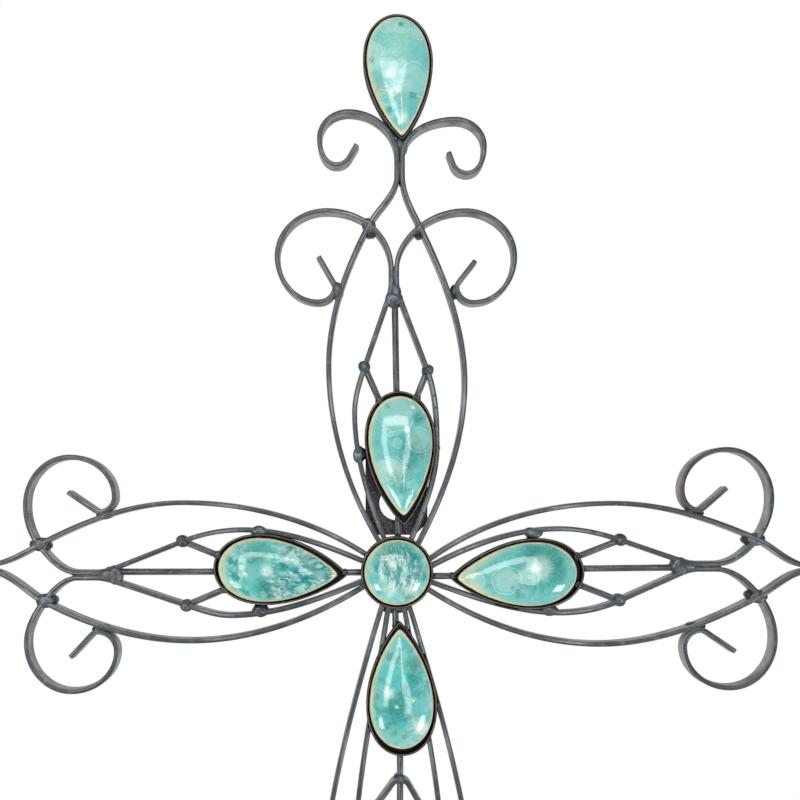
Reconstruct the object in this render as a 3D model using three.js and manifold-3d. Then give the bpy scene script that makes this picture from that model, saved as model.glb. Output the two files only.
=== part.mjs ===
// A wall cross of hand-bent flat steel bar stood on edge, with glazed stones in bezel cups.
// Millimetres. x runs to the right, z up and y back to the wall, which is the plane y = 0.
// The origin is on the back face of the hanger plate, just above its hole.
import * as THREE from 'three';
import { mergeVertices } from 'three/addons/utils/BufferGeometryUtils.js';
import Module from 'manifold-3d';

const wasm = await Module();
wasm.setup();

// Stock
const BAR_THICK = 3.2;
const BAR_DEPTH = 12.7;
const ROD_DIAMETER = 4.2;
const GAP = 0.3;

// Hanger plate
const PLATE = { thick: 1.6, width: 40, low: 23.5, top: 74, chamfer: 8, holeRadius: 11, holeUp: 44 };
const MOUNT_ABOVE_HOLE = 6;

// Stones and the cups that hold them; endPlay: room beyond a stone's ends
const ROUND_STONE = 41.5;
const STONE = { length: 75.6, width: 40.5, endPlay: 2.4 };
const END_STONE = { length: 75, width: 39.8, endPlay: 0 };
const STONE_PLAY = 1.0;
const CUP_WALL = 1.3;
const CUP_FLOOR = 1.2;
const CUP_DEPTH = 9;
const CUP_PROUD = 1.5;
const DOME_RISE = 6.5;
const GIRDLE_BELOW_RIM = 0.8;
const DROP_FULLNESS = 0.86;
const HEART = 0.62;
const DOME_RINGS = [0.86, 0.5];
const DOME_FLATNESS = 2.4;
const DOME_ROUNDNESS = 0.7;

// How far the arms reach, from the cross's centre to the tip of the cup at an arm's end
const TOP_REACH = 275.8;
const SIDE_REACH = 285.5;
const LOWER_REACH = 482;

// How the bars are bent
const CROSS_IN = 52;
const LEG_BEND = 12;
const SCROLL_SPREAD = 1.08;
const SCROLL_CLOSE = 0.9;
const CURL_CLOSE = 0.65;
const CURL_END = 0.55;
const FOOT_REST = 0.8;
const TAIL_BEND = 5;
const CROWN_RADIUS = 6;
const ROOT_REST = 0.3;
const STUB_SINK = 5;
const ROD_STOP = 9;
const ROD_COPE = 0.8;
const HALVING_HALF_LENGTH = 5.1;

// Resolution of the solids
const SAG = 0.3;
const DROP_SIDES = 26;
const ROD_SIDES = 8;
const HOLE_SIDES = 12;

// One arm after another, from the cross's centre outwards. A place is [along, across], across
// from the arm's axis, and a side's own sizes count outwards on that side.
// Along the arm, the end cup's tip, the touches, and a side's cross, curl, scroll and foot are
// measured from the arm's reach; strut and crown from the inner cup's far end; knob is a share
// of the leg, from that end to the inner apex. An eye's second size is its room off the cup.
// seat: how far a stone lies from its cup's middle towards the arm's end.
// root: where the outer and inner bar leave the centre cup, and how far they flare, in degrees.
// scroll, curl: the far, outer and near reach of a loop. foot: where a scroll comes back to the
// outer bar, and how far off it is held.
const ARMS = [
  {
    name: 'top', turn: 0, sides: ['left', 'right'], reach: TOP_REACH,
    stub: [0.6, 0.9], cup: { tip: [30.2, 4.4], lean: 2.7, seat: 1.5 },
    end: { tip: [-1.1, 3.2], lean: 3.1, seat: 0.6 },
    inner: { touch: [-89.8, -82.8], across: -1.9 }, outer: { touch: [-23.3, -11.8], across: 1.75 },
    rod: [0.5, -1.4],
    left: {
      root: { outer: [30, 31], inner: [20.6, 22] }, leaf: [131.4, 43.5], cross: [-54.5, 17.8, -28],
      eye: [101.6, 4.4], knob: [0.22, 20.6], strut: [-4.1, 11.9],
      curl: [17.1, 49.3, -16.6, 330], curlTail: 9.5,
      scroll: [-45.8, 76.2, -103.9], foot: [-94.2, 0.2], tail: 19.3, tailTurn: 30,
    },
    right: {
      root: { outer: [37, 28], inner: [24, 22] }, leaf: [120.7, 43.3], cross: [-55.8, 14.8, -26],
      eye: [80, 3], knob: [0.19, 19.4], strut: [-3.4, 12.7],
      curl: [12.3, 55.6, -22, 340], curlTail: 7.5,
      scroll: [-45.9, 74.9, -104.2], foot: [-94.3, 2.4], tail: 17, tailTurn: 38,
    },
  },
  {
    name: 'left', turn: 90, sides: ['lower', 'upper'], reach: SIDE_REACH,
    stub: [-0.1, -0.2], cup: { tip: [31.7, -1.4], lean: -3.7, seat: 1.5 },
    end: { tip: [-0.5, 2.6], lean: -1, seat: 0.6 },
    inner: { touch: [-93, -82.5], across: -1.9 }, outer: { touch: [-23.5, -14.5], across: 2.9 },
    rod: [0.3, 0.2],
    lower: {
      root: { outer: [23.3, 32], inner: [14.4, 23] }, leaf: [131.4, 43.7], cross: [-60.7, 18.8, -28],
      eye: [105.6, 5], knob: [0.23, 21], strut: [-6.4, 11.1],
      curl: [13.5, 52, -21.5, 332], curlTail: 8.5,
      scroll: [-49.9, 75.9, -107.1], foot: [-95, 0], tail: 19.8, tailTurn: 47,
    },
    upper: {
      root: { outer: [29.8, 33], inner: [17.8, 23] }, leaf: [136.5, 44.3], cross: [-57.5, 17.5, -28],
      eye: [98.4, 4.4], knob: [0.26, 19.7], strut: [-1.6, 11.1],
      curl: [12.5, 53, -22.5, 335], curlTail: 8.5,
      scroll: [-49.3, 73.3, -105.8], foot: [-96.3, -0.6], tail: 20.6, tailTurn: 34,
    },
  },
  {
    name: 'lower', turn: 180, sides: ['right', 'left'], reach: LOWER_REACH,
    stub: [1.1, 0.6], cup: { tip: [31.5, -1.7], lean: 1.4, seat: 0.2 },
    end: { tip: [0, -1], lean: 1, seat: 0.6 },
    inner: { touch: [-94, -83], across: 0 }, outer: { touch: [-24, -13], across: 0 },
    rod: [-1.9, -0.6], arch: { crown: [15.6, -2.1], spread: [30, 36] },
    right: {
      root: { outer: [20.3, 17], inner: [11.5, 11] }, leaf: [255, 53.2], cross: [-56, 16.5, -28],
      eye: [215, 8.6], knob: [0.8, 21.5],
      curl: [15, 52, -21, 332], curlTail: 8.5,
      scroll: [-47, 76, -105], foot: [-95, 0.5], tail: 19, tailTurn: 36,
    },
    left: {
      root: { outer: [24, 17], inner: [13.5, 9] }, leaf: [255, 52], cross: [-56, 16.5, -28],
      eye: [215, 6.4], knob: [0.8, 21.5],
      curl: [16, 51, -20, 335], curlTail: 8.5,
      scroll: [-46, 75, -104.5], foot: [-95, 0.5], tail: 20, tailTurn: 40,
    },
  },
  {
    name: 'right', turn: 270, sides: ['upper', 'lower'], reach: SIDE_REACH,
    stub: [2.5, 2.4], cup: { tip: [34, 3.5], lean: 3, seat: -0.1 },
    end: { tip: [0.5, -2.2], lean: 1.5, seat: 0.6 },
    inner: { touch: [-93, -82.5], across: -3.7 }, outer: { touch: [-22.5, -13.5], across: -2.5 },
    rod: [-1.8, -3],
    upper: {
      root: { outer: [21.6, 36], inner: [10.2, 28] }, leaf: [137.8, 43.9], cross: [-56.3, 21.3, -24],
      eye: [104, 5.1], knob: [0.32, 20.5], strut: [-3.3, 10.1],
      curl: [14.5, 53, -20.5, 332], curlTail: 8.5,
      scroll: [-47.2, 78.2, -104.2], foot: [-93.7, 0], tail: 19.4, tailTurn: 41,
    },
    lower: {
      root: { outer: [28.7, 33], inner: [16, 20] }, leaf: [128.9, 45.8], cross: [-54.6, 15.3, -28],
      eye: [104, 3.3], knob: [0.31, 18.1], strut: [-2, 8.4],
      curl: [13.5, 52, -21.5, 335], curlTail: 8.5,
      scroll: [-45, 73.5, -102.6], foot: [-91.8, 0], tail: 22.3, tailTurn: 34,
    },
  },
];

const BAR_BACK = -(PLATE.thick + GAP);
const BAR_FRONT = BAR_BACK - BAR_DEPTH;
const CUP_FRONT = BAR_FRONT - CUP_PROUD;
const CUP_BACK = CUP_FRONT + CUP_DEPTH;
const ROD_LEVEL = (BAR_FRONT + CUP_BACK) / 2;
const CUP_RADIUS = ROUND_STONE / 2 + STONE_PLAY + CUP_WALL;
const CUP_HALF_WIDTH = STONE.width / 2 + STONE_PLAY + CUP_WALL;
const CUP_LENGTH = STONE.length + 2 * (STONE.endPlay + STONE_PLAY + CUP_WALL);
const MOUNT_UP = PLATE.holeUp + PLATE.holeRadius + MOUNT_ABOVE_HOLE;

const steel = () => new THREE.MeshStandardMaterial({ color: 0x5a6268, roughness: 0.38, metalness: 1 });
const black = () => new THREE.MeshStandardMaterial({ color: 0x26241f, roughness: 0.5, metalness: 0.8 });
const glaze = () => new THREE.MeshStandardMaterial({ color: 0x6cc5bf, roughness: 0.12, metalness: 0 });

const radians = THREE.MathUtils.degToRad;
const heading = (degrees) => new THREE.Vector2(Math.cos(radians(degrees)), Math.sin(radians(degrees)));

// A solid from a three.js geometry whose shared corners are merged.
function solidOf(geometry) {
  const bare = geometry.clone();
  bare.deleteAttribute('normal');
  bare.deleteAttribute('uv');
  const merged = mergeVertices(bare, 1e-4);
  return new wasm.Manifold(new wasm.Mesh({
    numProp: 3,
    vertProperties: new Float32Array(merged.attributes.position.array),
    triVerts: new Uint32Array(merged.index.array),
  }));
}

function geometryOf(solid) {
  const mesh = solid.getMesh();
  const geometry = new THREE.BufferGeometry();
  geometry.setAttribute('position', new THREE.BufferAttribute(mesh.vertProperties, 3));
  geometry.setIndex(new THREE.BufferAttribute(mesh.triVerts, 1));
  geometry.computeVertexNormals();
  return geometry;
}

// An outline in the (along, across) plane of an arm, as a plate from y = back forwards.
function slab(outline, back, depth, turn) {
  const shape = new THREE.Shape(outline.map((p) => placed(p, turn)));
  const geometry = new THREE.ExtrudeGeometry(shape, { depth, bevelEnabled: false });
  geometry.rotateX(Math.PI / 2);
  geometry.translate(0, back, -MOUNT_UP);
  return solidOf(geometry);
}

// A point (along, across) of an arm, in the cross's own (x, z) plane.
function placed(point, turn) {
  const along = heading(turn + 90);
  const across = heading(turn);
  return along.multiplyScalar(point.x).add(across.multiplyScalar(point.y));
}

// A side's places, turned into places from the cross's centre and from the arm's axis.
function sideInPlace(side, arm) {
  const cupEnd = arm.cup.tip[0] + CUP_LENGTH;
  const out = (along) => arm.reach + along;
  const [scrollFar, scrollOut, scrollNear] = side.scroll;
  const [curlFar, curlOut, curlNear, curlTurn] = side.curl;
  const knobAlong = THREE.MathUtils.lerp(cupEnd, out(arm.inner.touch[0]), side.knob[0]);
  return {
    ...side,
    eye: [side.eye[0], CUP_HALF_WIDTH + side.eye[1]],
    knob: [knobAlong, side.knob[1]],
    strut: side.strut && [cupEnd + side.strut[0], side.strut[1]],
    cross: [out(side.cross[0]), ...side.cross.slice(1)],
    scroll: [out(scrollFar), scrollOut, out(scrollNear)],
    curl: [out(curlFar), curlOut, out(curlNear), curlTurn],
    foot: [out(side.foot[0]), side.foot[1]],
  };
}

function armInPlace(arm) {
  const out = (along) => arm.reach + along;
  const cupEnd = arm.cup.tip[0] + CUP_LENGTH;
  const sides = arm.sides.map((name) => [name, sideInPlace(arm[name], arm)]);
  return {
    ...arm,
    ...Object.fromEntries(sides),
    end: { ...arm.end, tip: [out(arm.end.tip[0]), arm.end.tip[1]] },
    inner: { ...arm.inner, touch: arm.inner.touch.map(out) },
    outer: { ...arm.outer, touch: arm.outer.touch.map(out) },
    arch: arm.arch && { ...arm.arch, crown: [cupEnd + arm.arch.crown[0], arm.arch.crown[1]] },
  };
}

// A smooth path through knots [along, across, heading]: between two knots runs the cubic
// that stands for an arc of their turn, cut so that its chords stay within SAG of it.
function smoothPath(knots) {
  const path = [{ at: new THREE.Vector2(knots[0][0], knots[0][1]), heading: knots[0][2] }];
  for (let i = 1; i < knots.length; i += 1) {
    const from = new THREE.Vector2(knots[i - 1][0], knots[i - 1][1]);
    const to = new THREE.Vector2(knots[i][0], knots[i][1]);
    const turn = Math.abs(radians(knots[i][2] - knots[i - 1][2]));
    const chord = from.distanceTo(to);
    const reach = turn > 1e-3 ? (2 / 3) * chord * Math.tan(turn / 4) / Math.sin(turn / 2) : chord / 3;
    const curve = new THREE.CubicBezierCurve(
      from, heading(knots[i - 1][2]).multiplyScalar(reach).add(from),
      heading(knots[i][2]).multiplyScalar(-reach).add(to), to,
    );
    const steps = Math.max(1, Math.ceil(Math.sqrt(chord * (turn + 0.02) / (8 * SAG))));
    for (let k = 1; k <= steps; k += 1) {
      const tangent = curve.getTangent(k / steps);
      path.push({ at: curve.getPoint(k / steps), heading: THREE.MathUtils.radToDeg(tangent.angle()) });
    }
  }
  return path;
}

// The two edges of a bar that follows a path, as one closed outline.
function barOutline(path, thick) {
  const edge = (side) => path.map(({ at, heading: degrees }) => heading(degrees + 90)
    .multiplyScalar(side * thick / 2).add(at));
  return [...edge(1), ...edge(-1).reverse()];
}

// How far a path lies across the arm where it first reaches the given distance along it.
function acrossAt(path, along) {
  const i = path.findIndex((p) => p.at.x >= along);
  const [a, b] = [path[i - 1].at, path[i].at];
  return THREE.MathUtils.lerp(a.y, b.y, (along - a.x) / (b.x - a.x));
}

const mirrored = (path, side) => path.map(({ at, heading: degrees }) => (
  { at: new THREE.Vector2(at.x, side * at.y), heading: side * degrees }));

// Knots of the loop that a bar ends in: over the top, down the outside and back under.
function loopKnots([far, out, near], close) {
  const middle = (far + near) / 2;
  return [
    [far, out - SCROLL_SPREAD * (far - middle), 90],
    [middle, out, 180],
    [near, out - close * (middle - near), 270],
  ];
}

function rootKnot([degrees, flare]) {
  const at = heading(degrees).multiplyScalar(CUP_RADIUS + GAP + ROOT_REST);
  return [at.x, at.y, flare];
}

// The outer bar of a side: round the leaf, over the inner bar, beside its twin, into a curl.
function outerKnots(arm, sizes, side) {
  const across = (BAR_THICK + GAP) / 2 + side * arm.outer.across;
  const [far, , near, turned] = sizes.curl;
  const loop = loopKnots(sizes.curl, CURL_CLOSE);
  const radius = CURL_END * (far - near) / 2;
  const inward = heading(turned + 90).multiplyScalar(radius);
  const end = new THREE.Vector2(near + radius, loop[2][1]).sub(inward);
  const tail = heading(turned).multiplyScalar(sizes.curlTail).add(end);
  return [
    rootKnot(sizes.root.outer),
    [...sizes.leaf, 0],
    sizes.cross,
    [arm.outer.touch[0], across, 0],
    [arm.outer.touch[1], across, 0],
    ...loop,
    [end.x, end.y, turned],
    [tail.x, tail.y, turned],
  ];
}

// The inner bar: round the cup, a straight leg, beside its twin, out through the outer bar
// and round a scroll whose foot comes back to the outer bar's outside.
function innerKnots(arm, sizes, side, outerPath) {
  const across = (BAR_THICK + GAP) / 2 + side * arm.inner.across;
  const [touch, apart] = arm.inner.touch;
  const legEnd = touch - LEG_BEND;
  const slope = (sizes.knob[1] - across) / (legEnd - sizes.knob[0] + LEG_BEND / 2);
  const legHeading = -THREE.MathUtils.radToDeg(Math.atan(slope));
  const [foot, lift] = sizes.foot;
  const footAcross = acrossAt(outerPath, foot) + BAR_THICK + GAP + FOOT_REST + lift;
  const turned = 360 + sizes.tailTurn;
  const bend = new THREE.Vector2(
    foot + TAIL_BEND * Math.sin(radians(sizes.tailTurn)),
    footAcross + TAIL_BEND * (1 - Math.cos(radians(sizes.tailTurn))),
  );
  const tail = heading(turned).multiplyScalar(sizes.tail).add(bend);
  return [
    rootKnot(sizes.root.inner),
    [...sizes.eye, 0],
    [...sizes.knob, legHeading],
    [legEnd, across + slope * LEG_BEND / 2, legHeading],
    [touch, across, 0],
    [apart, across, 0],
    [sizes.cross[0], sizes.cross[1], CROSS_IN],
    ...loopKnots(sizes.scroll, SCROLL_CLOSE),
    [foot, footAcross, 360],
    [bend.x, bend.y, turned],
    [tail.x, tail.y, turned],
  ];
}

// Half of a halved joint: a short box along one bar that frees the other bar's half depth.
function halvingCut(sizes, side, degrees, turn, back) {
  const at = new THREE.Vector2(sizes.cross[0], side * sizes.cross[1]);
  const along = heading(side * degrees).multiplyScalar(HALVING_HALF_LENGTH);
  const path = [-1, 1].map((end) => (
    { at: along.clone().multiplyScalar(end).add(at), heading: side * degrees }));
  return slab(barOutline(path, BAR_THICK + 2 * GAP), back, BAR_DEPTH / 2 + GAP + 1, turn);
}

// The outline of a drop-shaped stone or cup: from the tip the half width grows as a power of
// the distance and closes as a square root. Points crowd at both ends, as on an ellipse.
function dropOutline(length, width, place, play) {
  const peak = DROP_FULLNESS / (DROP_FULLNESS + 0.5);
  const most = peak ** DROP_FULLNESS * Math.sqrt(1 - peak);
  const full = length + 2 * play;
  const outline = [];
  for (let i = 0; i < DROP_SIDES; i += 1) {
    const t = (2 * Math.PI * (i + 0.5)) / DROP_SIDES;
    const q = (1 - Math.cos(t)) / 2;
    const half = ((width / 2 + play) * q ** DROP_FULLNESS * Math.sqrt(1 - q)) / most;
    outline.push(new THREE.Vector2(q * full - play, half * Math.sign(Math.sin(t)))
      .rotateAround(new THREE.Vector2(0, 0), radians(-place.lean))
      .add(new THREE.Vector2(...place.tip)));
  }
  return outline;
}

function roundOutline(radius) {
  const side = (i) => heading((360 * (i + 0.5)) / DROP_SIDES).multiplyScalar(radius);
  return Array.from({ length: DROP_SIDES }, (_, i) => side(i));
}

// The point of a drop-shaped stone's outline that its dome rises to.
function heart(stone, place) {
  return new THREE.Vector2(stone.length * HEART, 0)
    .rotateAround(new THREE.Vector2(0, 0), radians(-place.lean))
    .add(new THREE.Vector2(...place.tip));
}

// A cup seen from the front: a wall round the stone's outline on a flat floor.
function cupSolid(outer, inner, turn) {
  return slab(outer, CUP_BACK, CUP_DEPTH, turn)
    .subtract(slab(inner, CUP_BACK - CUP_FLOOR, CUP_DEPTH, turn));
}

// A stone: a lathed cabochon whose rings are stretched to the stone's own outline.
function stoneSolid(outline, centre, turn) {
  const base = CUP_BACK - CUP_FLOOR - GAP;
  const girdle = base - (CUP_FRONT + GIRDLE_BELOW_RIM);
  const rise = DOME_RISE + GIRDLE_BELOW_RIM;
  const domeAt = (r) => girdle + rise * (1 - r ** DOME_FLATNESS) ** DOME_ROUNDNESS;
  const rings = DOME_RINGS.map((r) => new THREE.Vector2(r, domeAt(r)));
  const profile = [
    new THREE.Vector2(0, 0), new THREE.Vector2(1, 0), new THREE.Vector2(1, girdle),
    ...rings, new THREE.Vector2(0, girdle + rise),
  ];
  const geometry = new THREE.LatheGeometry(profile, DROP_SIDES);
  const { position } = geometry.attributes;
  for (let k = 0; k < position.count; k += 1) {
    const ring = profile[k % profile.length];
    const side = outline[Math.floor(k / profile.length) % DROP_SIDES];
    const at = placed(centre.clone().lerp(side, ring.x), turn);
    position.setXYZ(k, at.x, base - ring.y, at.y - MOUNT_UP);
  }
  return facingOut(solidOf(geometry), geometry);
}

// A lathe's faces follow its profile's direction, so a solid turned inside out is turned back.
function facingOut(solid, geometry) {
  if (solid.volume() > 0) return solid;
  const index = geometry.index.array;
  for (let k = 0; k < index.length; k += 3) [index[k], index[k + 1]] = [index[k + 1], index[k]];
  return solidOf(geometry);
}

// A round rod between two points (along, across) of an arm.
function rodSolid(from, to, turn) {
  const [a, b] = [placed(from, turn), placed(to, turn)];
  const axis = new THREE.Vector3(b.x - a.x, 0, b.y - a.y);
  const rod = new THREE.CylinderGeometry(ROD_DIAMETER / 2, ROD_DIAMETER / 2, axis.length(), ROD_SIDES);
  rod.applyQuaternion(new THREE.Quaternion().setFromUnitVectors(
    new THREE.Vector3(0, 1, 0), axis.clone().normalize(),
  ));
  rod.translate((a.x + b.x) / 2, ROD_LEVEL, (a.y + b.y) / 2 - MOUNT_UP);
  return solidOf(rod);
}

function hangerPlate() {
  const { width, low, top, chamfer, thick, holeRadius, holeUp } = PLATE;
  const half = width / 2;
  const shape = new THREE.Shape([
    [-half + chamfer, low], [half - chamfer, low], [half, low + chamfer],
    [half, top], [-half, top], [-half, low + chamfer],
  ].map(([x, z]) => new THREE.Vector2(x, z)));
  shape.holes.push(new THREE.Path().absarc(0, holeUp, holeRadius, 0, 2 * Math.PI, true));
  const across = { depth: thick, bevelEnabled: false, curveSegments: HOLE_SIDES };
  const plate = new THREE.ExtrudeGeometry(shape, across);
  plate.rotateX(Math.PI / 2);
  plate.translate(0, 0, -MOUNT_UP);
  return solidOf(plate);
}

const group = new THREE.Group();
group.name = 'wall_cross';

function addPiece(name, solid, material) {
  const mesh = new THREE.Mesh(geometryOf(solid), material);
  mesh.name = name;
  group.add(mesh);
}

// A drop-shaped cup with its stone; gives back the cup grown by the gap, for cutting others.
function addSetting(name, stone, place, turn) {
  const drop = (play, endPlay) => dropOutline(
    stone.length + 2 * endPlay, stone.width,
    { ...place, tip: [place.tip[0] + tipInset - endPlay, place.tip[1]] }, play,
  );
  const tipInset = STONE_PLAY + stone.endPlay + CUP_WALL;
  const outer = drop(STONE_PLAY + CUP_WALL, stone.endPlay);
  const inner = drop(STONE_PLAY, stone.endPlay);
  const seated = [place.tip[0] + tipInset + place.seat, place.tip[1]];
  const stonePlace = { ...place, tip: seated };
  addPiece(`${name}cup`, cupSolid(outer, inner, turn), black());
  const lying = dropOutline(stone.length, stone.width, stonePlace, 0);
  addPiece(`${name}stone`, stoneSolid(lying, heart(stone, stonePlace), turn), glaze());
  const grown = drop(STONE_PLAY + CUP_WALL + GAP, stone.endPlay);
  return {
    heart: heart(stone, stonePlace),
    grown: slab(grown, CUP_BACK + GAP, CUP_DEPTH + 2 * GAP, turn),
  };
}

// The two bars of one side, notched where they cross and where a cup sits on them.
function addBars(arm, sideName, side, cups) {
  const sizes = arm[sideName];
  const outer = smoothPath(outerKnots(arm, sizes, side));
  const inner = smoothPath(innerKnots(arm, sizes, side, outer));
  const [outerPath, innerPath] = [mirrored(outer, side), mirrored(inner, side)];
  const middle = BAR_BACK - BAR_DEPTH / 2;
  const bar = (path) => slab(barOutline(path, BAR_THICK), BAR_BACK, BAR_DEPTH, arm.turn);
  const name = `${arm.name}_${sideName}`;
  const freed = halvingCut(sizes, side, CROSS_IN, arm.turn, BAR_BACK + 1);
  const over = halvingCut(sizes, side, sizes.cross[2], arm.turn, middle + GAP);
  const notched = (path, cut) => cups.reduce((s, cup) => s.subtract(cup.grown), bar(path).subtract(cut));
  addPiece(`${name}_outer_bar`, notched(outerPath, freed), steel());
  addPiece(`${name}_inner_bar`, notched(innerPath, over), steel());
  return {
    knob: new THREE.Vector2(sizes.knob[0], side * sizes.knob[1]),
    strut: sizes.strut && new THREE.Vector2(sizes.strut[0], side * sizes.strut[1]),
    path: innerPath,
    grown: slab(barOutline(innerPath, BAR_THICK + 2 * GAP), BAR_BACK, BAR_DEPTH, arm.turn),
  };
}

// A strut from the inner bar's knob to the cup, coped at both ends.
function addStrut(name, arm, bars, cup) {
  const toCup = bars.strut.clone().sub(bars.knob).normalize();
  const start = toCup.clone().multiplyScalar(ROD_COPE).add(bars.knob);
  const end = toCup.multiplyScalar(STONE.width / 4).add(bars.strut);
  const strut = rodSolid(start, end, arm.turn).subtract(bars.grown).subtract(cup.grown);
  addPiece(name, strut, steel());
}

// Where a leg that spreads from the arch's shoulder meets an inner bar.
function legFoot(path, shoulder, spread, side) {
  const legAcross = (along) => shoulder.y + side * (along - shoulder.x) * Math.tan(radians(spread));
  const beyond = ({ at }) => at.x > shoulder.x && side * (legAcross(at.x) - at.y) > 0;
  const foot = path[path.findIndex(beyond)].at;
  const before = path[path.findIndex(beyond) - 1].at;
  const [short, past] = [before, foot].map((at) => side * (legAcross(at.x) - at.y));
  const along = THREE.MathUtils.lerp(before.x, foot.x, short / (short - past));
  return [along - ROD_COPE, legAcross(along - ROD_COPE)];
}

// The arch that takes the place of struts on the long arm: a bar bent over the centre rod.
function addArch(arm, bars) {
  const { crown, spread } = arm.arch;
  const [near, away] = [-1, 1].map((side, i) => {
    const shoulder = new THREE.Vector2(
      crown[0] + CROWN_RADIUS * (1 - Math.sin(radians(spread[i]))),
      crown[1] + side * CROWN_RADIUS * Math.cos(radians(spread[i])),
    );
    return { shoulder, foot: legFoot(bars[i].path, shoulder, spread[i], side) };
  });
  const path = smoothPath([
    [...away.foot, 180 + spread[1]],
    [...away.shoulder, 180 + spread[1]],
    [...crown, 270],
    [...near.shoulder, 360 - spread[0]],
    [...near.foot, 360 - spread[0]],
  ]);
  const solid = bars.reduce(
    (s, b) => s.subtract(b.grown),
    slab(barOutline(path, BAR_THICK), BAR_BACK, BAR_DEPTH, arm.turn),
  );
  addPiece(`${arm.name}_arch`, solid, steel());
  const grown = slab(barOutline(path, BAR_THICK + 2 * GAP), BAR_BACK, BAR_DEPTH, arm.turn);
  return { crown: new THREE.Vector2(...crown), grown };
}

function addArm(arm) {
  const cup = addSetting(`${arm.name}_`, STONE, arm.cup, arm.turn);
  const end = addSetting(`${arm.name}_end_`, END_STONE, arm.end, arm.turn);
  const bars = arm.sides.map((sideName, i) => addBars(arm, sideName, 2 * i - 1, [cup, end]));
  const root = new THREE.Vector2(CUP_RADIUS + GAP, arm.stub[0]);
  const tip = new THREE.Vector2(arm.cup.tip[0] + STUB_SINK, arm.stub[1]);
  addPiece(`${arm.name}_root_rod`, rodSolid(root, tip, arm.turn).subtract(cup.grown), steel());
  const apex = new THREE.Vector2(arm.inner.touch[0] - ROD_STOP, arm.rod[1]);
  const holders = [cup, ...bars];
  let rodFrom = new THREE.Vector2(cup.heart.x, arm.rod[0]);
  if (arm.arch) {
    const arch = addArch(arm, bars);
    holders.push(arch);
    const short = rodSolid(rodFrom, arch.crown, arm.turn);
    addPiece(`${arm.name}_short_rod`, short.subtract(cup.grown).subtract(arch.grown), steel());
    rodFrom = arch.crown;
  } else {
    arm.sides.forEach((sideName, i) => addStrut(`${arm.name}_${sideName}_strut`, arm, bars[i], cup));
  }
  const rod = rodSolid(rodFrom, apex, arm.turn);
  addPiece(`${arm.name}_centre_rod`, holders.reduce((s, h) => s.subtract(h.grown), rod), steel());
}

addPiece('centre_cup', cupSolid(roundOutline(CUP_RADIUS), roundOutline(CUP_RADIUS - CUP_WALL), 0), black());
addPiece('centre_stone', stoneSolid(roundOutline(ROUND_STONE / 2), new THREE.Vector2(0, 0), 0), glaze());
addPiece('hanger_plate', hangerPlate(), black());
ARMS.map(armInPlace).forEach(addArm);

export default group;
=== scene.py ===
"""A wall cross of hand-bent flat steel bar with glazed stones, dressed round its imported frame."""
import math
from functools import cache
from types import SimpleNamespace

import bpy
import numpy as np
from bpy.props import FloatProperty, FloatVectorProperty, PointerProperty
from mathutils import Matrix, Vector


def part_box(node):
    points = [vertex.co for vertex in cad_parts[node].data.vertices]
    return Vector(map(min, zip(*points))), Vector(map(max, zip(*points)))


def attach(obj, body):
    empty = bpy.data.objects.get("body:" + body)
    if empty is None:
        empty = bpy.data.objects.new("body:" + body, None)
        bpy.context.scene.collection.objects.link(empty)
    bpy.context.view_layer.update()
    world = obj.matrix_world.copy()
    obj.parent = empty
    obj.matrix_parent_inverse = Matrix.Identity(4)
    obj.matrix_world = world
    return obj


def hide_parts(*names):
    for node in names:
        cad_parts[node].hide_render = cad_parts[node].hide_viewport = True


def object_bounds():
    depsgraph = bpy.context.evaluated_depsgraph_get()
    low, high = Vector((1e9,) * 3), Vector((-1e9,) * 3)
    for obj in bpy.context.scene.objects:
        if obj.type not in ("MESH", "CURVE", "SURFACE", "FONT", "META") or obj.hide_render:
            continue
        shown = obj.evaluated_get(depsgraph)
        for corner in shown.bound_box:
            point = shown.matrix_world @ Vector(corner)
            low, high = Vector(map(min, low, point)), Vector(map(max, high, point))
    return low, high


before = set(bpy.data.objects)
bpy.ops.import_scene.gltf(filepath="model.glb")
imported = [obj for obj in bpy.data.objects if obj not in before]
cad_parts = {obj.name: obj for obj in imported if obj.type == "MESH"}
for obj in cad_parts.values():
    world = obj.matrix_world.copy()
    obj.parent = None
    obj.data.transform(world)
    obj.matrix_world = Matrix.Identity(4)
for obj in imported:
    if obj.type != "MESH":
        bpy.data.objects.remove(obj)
CAD_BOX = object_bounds()

bl_info = {
    "name": "Wall Cross",
    "version": (1, 0, 0),
    "blender": (4, 5, 0),
    "location": "View3D > Sidebar > Wall Cross",
    "description": "Builds the bars, settings, stones and welds of a steel wall cross",
    "category": "Add Mesh",
}

MM = 0.001


def node_span(node, axis):
    """Lowest and highest place of a solid along one axis, in millimetres."""
    low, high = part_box(node)
    return round(low[axis] / MM, 3), round(high[axis] / MM, 3)


# Depths, from the frame: y runs back to the wall, so a front is the lower value
BAR_FRONT, BAR_BACK = node_span("top_left_outer_bar", 1)
CUP_FRONT, CUP_BACK = node_span("centre_cup", 1)
PLATE_FRONT, PLATE_BACK = node_span("hanger_plate", 1)
STONE_TOP, STONE_BASE = node_span("centre_stone", 1)
ROD_FRONT, ROD_BACK = node_span("lower_centre_rod", 1)
PLATE_LEFT, PLATE_RIGHT = node_span("hanger_plate", 0)
PLATE_LOW, PLATE_TOP = node_span("hanger_plate", 2)
CENTRE_UP = sum(node_span("centre_cup", 2)) / 2

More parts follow.
